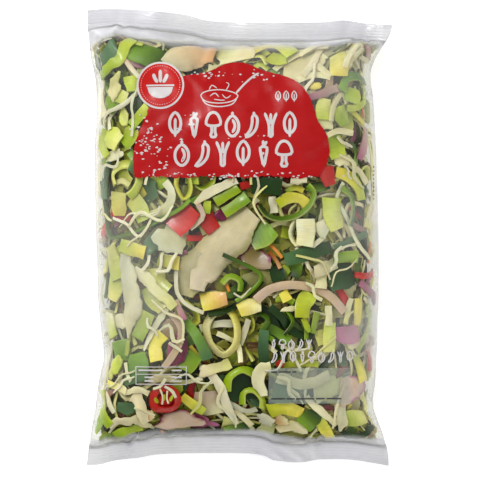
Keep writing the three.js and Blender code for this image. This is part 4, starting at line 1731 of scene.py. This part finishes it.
# ---------------------------------------------------------------------------------------------
# The operators


LOOSE_ON_TOP = 52  # shreds tried over everything else
STATE = {}  # what one step leaves for the next: the film, the pile and the film's surface


def sizes():
    return bpy.context.scene.bag_sizes


def palette():
    colours = bpy.context.scene.bag_colours
    return {name: tuple(getattr(colours, name)) for name in BagColours.__annotations__}


class BAG_OT_fill(bpy.types.Operator):
    """Fill the film and lay the vegetables under it"""

    bl_idname = "bag.fill"
    bl_label = "Fill the bag"

    def execute(self, context):
        tube = Tube(sizes())
        film = Film(tube, tube.fill(), sizes().seal_depth)
        pile = Pile(film, palette(), sizes().fill_depth / MM, seed=11)
        top = Top(pile)
        strew(top, LOOSE_ON_TOP)
        for lay in (lay_upper_left, lay_upper_right, lay_left, lay_middle, lay_right,
                    lay_lower_left):
            lay(top)
        scatter(pile, sizes().pieces)
        STATE.update(film=film, pile=pile)
        return {"FINISHED"}


# Each kind of vegetable: its material, its slot and its looks
CABBAGE = dict(scatter=0.2, warmth=0.25)
LOOKS = {
    "leek_pieces": ("leek", "leek", dict(veins=0.42, coat=0.4, roughness=0.32)),
    "leek_leaves": ("leek_leaf", "leek", dict(veins=0.35, coat=0.25)),
    "cabbage_shreds": ("cabbage_shred", "cabbage", dict(fine=0.25, **CABBAGE)),
    "cabbage_leaves": ("cabbage", "cabbage", dict(fine=0.3, **CABBAGE)),
    "onion_slices": ("onion", "onion", dict(veins=0.2, coat=0.35, roughness=0.3, scatter=0.25)),
    "pepper_slices": ("pepper", "pepper", dict(coat=0.25, roughness=0.3)),
    "mushrooms": ("mushroom", "mushroom",
                  dict(fine=0.35, roughness=0.6, warmth=0.15, coat=0.0, scatter=0.2)),
    "carrot_slivers": ("carrot", "carrot", dict(fine=0.1)),
}


class BAG_OT_vegetables(bpy.types.Operator):
    """Make the vegetables, one object for each kind"""

    bl_idname = "bag.vegetables"
    bl_label = "Vegetables"

    def execute(self, context):
        for name, (finish, slot, looks) in LOOKS.items():
            mesh = joined(name, STATE["pile"].pieces[name], STATE["film_tree"])
            new_object(name, mesh, vegetable_finish(finish, **looks))
        return {"FINISHED"}


class BAG_OT_core(bpy.types.Operator):
    """Make the lumpy inside of the filling, coloured in painted shade"""

    bl_idname = "bag.core"
    bl_label = "Core of the filling"

    def execute(self, context):
        film = STATE["film"]
        mesh = bmesh.new()
        bmesh.ops.create_grid(mesh, x_segments=100, y_segments=66, size=0.5)
        depth = sizes().fill_depth / MM + 1.0
        for vert in mesh.verts:
            s = (vert.co.x + 0.25) * film.girth
            t = vert.co.y * film.length * 0.93
            lump = 1.5 * math.sin(s * 0.31 + 2 * math.sin(t * 0.11)) * math.cos(t * 0.27)
            vert.co = Vector(film.inside(np.array([s]), np.array([t]),
                                         np.array([depth + lump]))[0]) * MM
        bmesh.ops.remove_doubles(mesh, verts=mesh.verts, dist=1e-5)
        bmesh.ops.holes_fill(mesh, edges=mesh.edges, sides=0)
        bmesh.ops.recalc_face_normals(mesh, faces=mesh.faces)
        data = smooth_mesh("filling_core", mesh)
        finish = Finish("filling_core")
        place = finish.place()
        blotch = finish.noise(120.0, place, detail=4.0)
        # Painted shade: the core is coloured as the dark deep inside of the pile, lighter in
        # blotches
        deep = rgba(palette()["deep"])
        mixed = finish.mixed(blotch.step(0.4, 0.65), deep, rgba([c * 2.2 for c in deep[:3]]))
        surface = finish.principled(Base_Color=mixed, Roughness=0.6,
                                    Normal=finish.bump(blotch, 0.002))
        new_object("filling_core", data, finish.done(surface))
        return {"FINISHED"}


HAZE_COLOUR = (0.81, 0.805, 0.745)


def film_veils(x, t, beside):
    """How hazy the film is towards both seals, and at the bag's sides, where the whiteness is
    partly a painted highlight of the lamps.
    """
    start = 124 + 4 * soft_step(x, -50, 10)
    upper = 0.8 * soft_step(t, start, start + 11)
    # At the sides: haze of the film, partly a painted highlight along its edges
    return upper + 0.75 * soft_step(-t, 131, 137), 0.2 * beside


class BAG_OT_film(bpy.types.Operator):
    """Make the clear film, drawn down over the vegetables"""

    bl_idname = "bag.film"
    bl_label = "Film"

    def execute(self, context):
        film, pile = STATE["film"], STATE["pile"]
        offset = film_offset(pile, sizes().fold_radius / MM)
        mesh = bmesh.new()
        bmesh.ops.create_grid(mesh, x_segments=200, y_segments=142, size=0.5)
        haze_and_glare = mesh.verts.layers.float.new("veil")
        s = np.array([(v.co.x + 0.25) * film.girth for v in mesh.verts])
        t = np.array([v.co.y * film.length for v in mesh.verts])
        x = s / pile.CELL % pile.shape[0]
        y = (t + film.length / 2) / pile.CELL
        ring = np.vstack([offset, offset[:2]])
        out = sampled(ring, x, np.clip(y, 0, offset.shape[1] - 1))
        beside = soft_step(np.abs(wrapped(s, film.girth)), 84, 96)
        out = out * soft_step(film.length / 2 - np.abs(t), 0, 8) * (1 - 0.85 * beside)
        points = film.point(s, t) + film.normal(s, t) * out[:, None]
        points[:, 2] = np.maximum(points[:, 2], 0.0)
        ends, sides = film_veils(points[:, 0], t, beside)
        # Haze towards the seals and at the sides, and painted glare in spots
        veils = veil(points[:, 0], points[:, 1]) + ends + sides
        for vert, point, cloud in zip(mesh.verts, points, veils):
            vert.co = Vector(point) * MM
            vert[haze_and_glare] = cloud
        bmesh.ops.remove_doubles(mesh, verts=mesh.verts, dist=2e-5)
        bmesh.ops.recalc_face_normals(mesh, faces=mesh.faces)
        if mesh.calc_volume(signed=True) < 0:
            bmesh.ops.reverse_faces(mesh, faces=mesh.faces)
        STATE["film_tree"] = BVHTree.FromBMesh(mesh)
        material = film_finish("film", HAZE_COLOUR, False)
        bag = new_object("film", smooth_mesh("film", mesh), material)
        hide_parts("bag")
        return {"FINISHED"}


class BAG_OT_print(bpy.types.Operator):
    """Make the print: a brushed red field with plain drawings, a badge and small panels"""

    bl_idname = "bag.print"
    bl_label = "Print"

    def execute(self, context):
        tree = STATE["film_tree"]
        tints = palette()
        draw = np.random.default_rng(5)
        white = ink_finish("white_ink", tints["paper"])
        field = Print(tree)
        field.shape(field_outline(draw))
        field.lay("print_field", 0.3, ink_finish("red_ink", tints["ink"], wear_and_sheen=0.2), "print_red")
        marks = Print(tree)
        draw_flecks(marks, draw)
        draw_rows(marks)
        draw_pan(marks)
        draw_table(marks)
        marks.lay("print_marks", 0.38, white, "print_white")
        draw_badge(tree, white, ink_finish("badge_ink", tints["badge"], wear_and_sheen=0.1))
        panel = Print(tree)
        panel.bar(*DATE_PANEL)
        panel.lay("date_panel", 0.3, ink_finish("panel_ink", tints["panel"], opacity=0.35),
                  "print_white")
        small = Print(tree)
        draw_small(small)
        small.lay("small_print", 0.38, ink_finish("dark_ink", DARK_INK), "print_white")
        return {"FINISHED"}


# The two seals are the same film: the difference between their greys is painted light and shade,
# for how light falls on each end
SEALS = (("seal_top", 1, 0.7), ("seal_bottom", -1, 0.75))  # which end, and how light a grey
SEAL_LAP = 0.3  # the share of a seal's rows by which it laps over the film
LAP_REACH = 3.6  # and how many mm of film those span
SEAL_THICK = 0.00025


def seal_point(film, end, across, out, lap):
    """A point of a seal: across from -1 to 1, out from 0 to 1 at its free edge, lap mm inwards."""
    line = film.point(across * film.girth / 4, end * (film.length / 2 - lap))
    line[2] += 0.2 * min(1, lap)
    free = end_edge(TOP_EDGE if end > 0 else BOTTOM_EDGE, line[0])
    y = line[1] + (free - line[1]) * out
    low, high = side_edge(LEFT_EDGE, line[1]), side_edge(RIGHT_EDGE, line[1])
    x = fitted(line[0], y, low, high)
    crease = 1.7 * bell((x - 34) / 15) * math.sin(x / 2.1 + y / 1.7) * (end < 0)
    wave = (1.3 * math.sin(x / 10.7 + 1.8 * (2 + end))
            + 0.6 * math.sin(x / 4.6 + 2.1 * (2 + end)))
    rib = 0.22 * math.sin(out * math.tau * 5.5)
    droop = -2.4 * out * out
    return Vector((x, y, line[2] + (wave + crease) * out + droop + rib)) * MM


class BAG_OT_seals(bpy.types.Operator):
    """Make the crimped seals at both ends"""

    bl_idname = "bag.seals"
    bl_label = "Seals"

    def execute(self, context):
        for name, end, grey in SEALS:
            material = film_finish(name, (grey, grey, grey * 1.05), True)
            mesh = bmesh.new()
            bmesh.ops.create_grid(mesh, x_segments=150, y_segments=20, size=0.5)
            haze_and_glare = mesh.verts.layers.float.new("veil")
            for vert in mesh.verts:
                out = (vert.co.y + 0.5) * (1 + SEAL_LAP) - SEAL_LAP
                lap = max(-out, 0) / SEAL_LAP * LAP_REACH
                vert.co = seal_point(STATE["film"], end, vert.co.x * 2, max(out, 0), lap)
                vert[haze_and_glare] = 0.75 - 0.7 * soft_step(lap, 0.6, LAP_REACH)
            bmesh.ops.recalc_face_normals(mesh, faces=mesh.faces)
            bmesh.ops.solidify(mesh, geom=mesh.faces[:], thickness=SEAL_THICK)
            bmesh.ops.recalc_face_normals(mesh, faces=mesh.faces)
            new_object(name, smooth_mesh(name, mesh), material)
        return {"FINISHED"}


SOFT_LIGHT = 0.42  # of the sky, and of the floor itself, which keeps it pale
LIGHTS = (  # place, size and power
    ("key_light", (-0.75, 0.8, 0.85), 1.2, 11.5),
    ("spark_light", (-0.5, 0.65, 1.1), 0.18, 4.2),
    ("fill_light", (0.95, -0.5, 0.75), 1.2, 6.0),
)
LENS = 400  # mm, so long that the photograph's pixels stay true to size at any height
SHARE_OF_HEIGHT = 0.45  # where on the bag they are exactly true


class BAG_OT_stage(bpy.types.Operator):
    """Make the floor, the lights and the camera"""

    bl_idname = "bag.stage"
    bl_label = "Stage"

    def execute(self, context):
        scene = context.scene
        mesh = bmesh.new()
        bmesh.ops.create_grid(mesh, x_segments=1, y_segments=1, size=3)
        bmesh.ops.translate(mesh, verts=mesh.verts, vec=(0, 0, -0.0004))
        data = smooth_mesh("floor", mesh)
        finish = Finish("floor")
        data.materials.append(finish.done(finish.principled(
            Base_Color=(0.96, 0.96, 0.965, 1), Roughness=0.9,
            Emission_Color=(1.0, 1.0, 1.0, 1.0), Emission_Strength=SOFT_LIGHT)))
        floor = bpy.data.objects.new("floor", data)
        scene.collection.objects.link(floor)
        world = bpy.data.worlds.new("studio")
        world.use_nodes = True
        sky = world.node_tree.nodes["Background"].inputs
        sky["Color"].default_value = (1, 1, 1, 1)
        sky["Strength"].default_value = SOFT_LIGHT
        scene.world = world
        for name, place, size, power in LIGHTS:
            light = bpy.data.lights.new(name, "AREA")
            light.size = size
            light.energy = power
            lamp = bpy.data.objects.new(name, light)
            lamp.location = place
            lamp.rotation_mode = "QUATERNION"
            lamp.rotation_quaternion = Vector(place).to_track_quat("Z", "Y")
            scene.collection.objects.link(lamp)
        lens = bpy.data.cameras.new("camera")
        lens.lens = LENS
        camera = bpy.data.objects.new("camera", lens)
        span = PHOTO_SIZE * PIXEL * MM
        top = BAG_HIGH.z * SHARE_OF_HEIGHT
        camera.location = (
            (PHOTO_SIZE / 2 - PHOTO_MIDDLE[0]) * PIXEL * MM,
            (PHOTO_MIDDLE[1] - PHOTO_SIZE / 2) * PIXEL * MM,
            span * lens.lens / lens.sensor_width + top,
        )
        scene.collection.objects.link(camera)
        scene.camera = camera
        scene.view_settings.view_transform = "Standard"
        return {"FINISHED"}


STEPS = ("fill", "film", "vegetables", "core", "print", "seals", "stage")


class BAG_PT_panel(bpy.types.Panel):
    """Lists what the bag is made of"""

    bl_idname = "BAG_PT_panel"
    bl_label = "Stir-fry bag"
    bl_space_type = "VIEW_3D"
    bl_region_type = "UI"
    bl_category = "Veg Bag"

    def draw(self, context):
        for group in (context.scene.bag_sizes, context.scene.bag_colours):
            for name in type(group).__annotations__:
                self.layout.prop(group, name)
        for step in STEPS:
            self.layout.operator(f"bag.{step}")


CLASSES = (BagSizes, BagColours, BAG_OT_fill, BAG_OT_vegetables, BAG_OT_core, BAG_OT_film,
           BAG_OT_print, BAG_OT_seals, BAG_OT_stage, BAG_PT_panel)


def register():
    for made in CLASSES:
        bpy.utils.register_class(made)
    bpy.types.Scene.bag_sizes = bpy.props.PointerProperty(type=BagSizes)
    bpy.types.Scene.bag_colours = bpy.props.PointerProperty(type=BagColours)


def unregister():
    del bpy.types.Scene.bag_colours
    del bpy.types.Scene.bag_sizes
    for made in reversed(CLASSES):
        bpy.utils.unregister_class(made)


def main():
    register()
    for step in STEPS:
        getattr(bpy.ops.bag, step)()


if __name__ == "__main__":
    main()
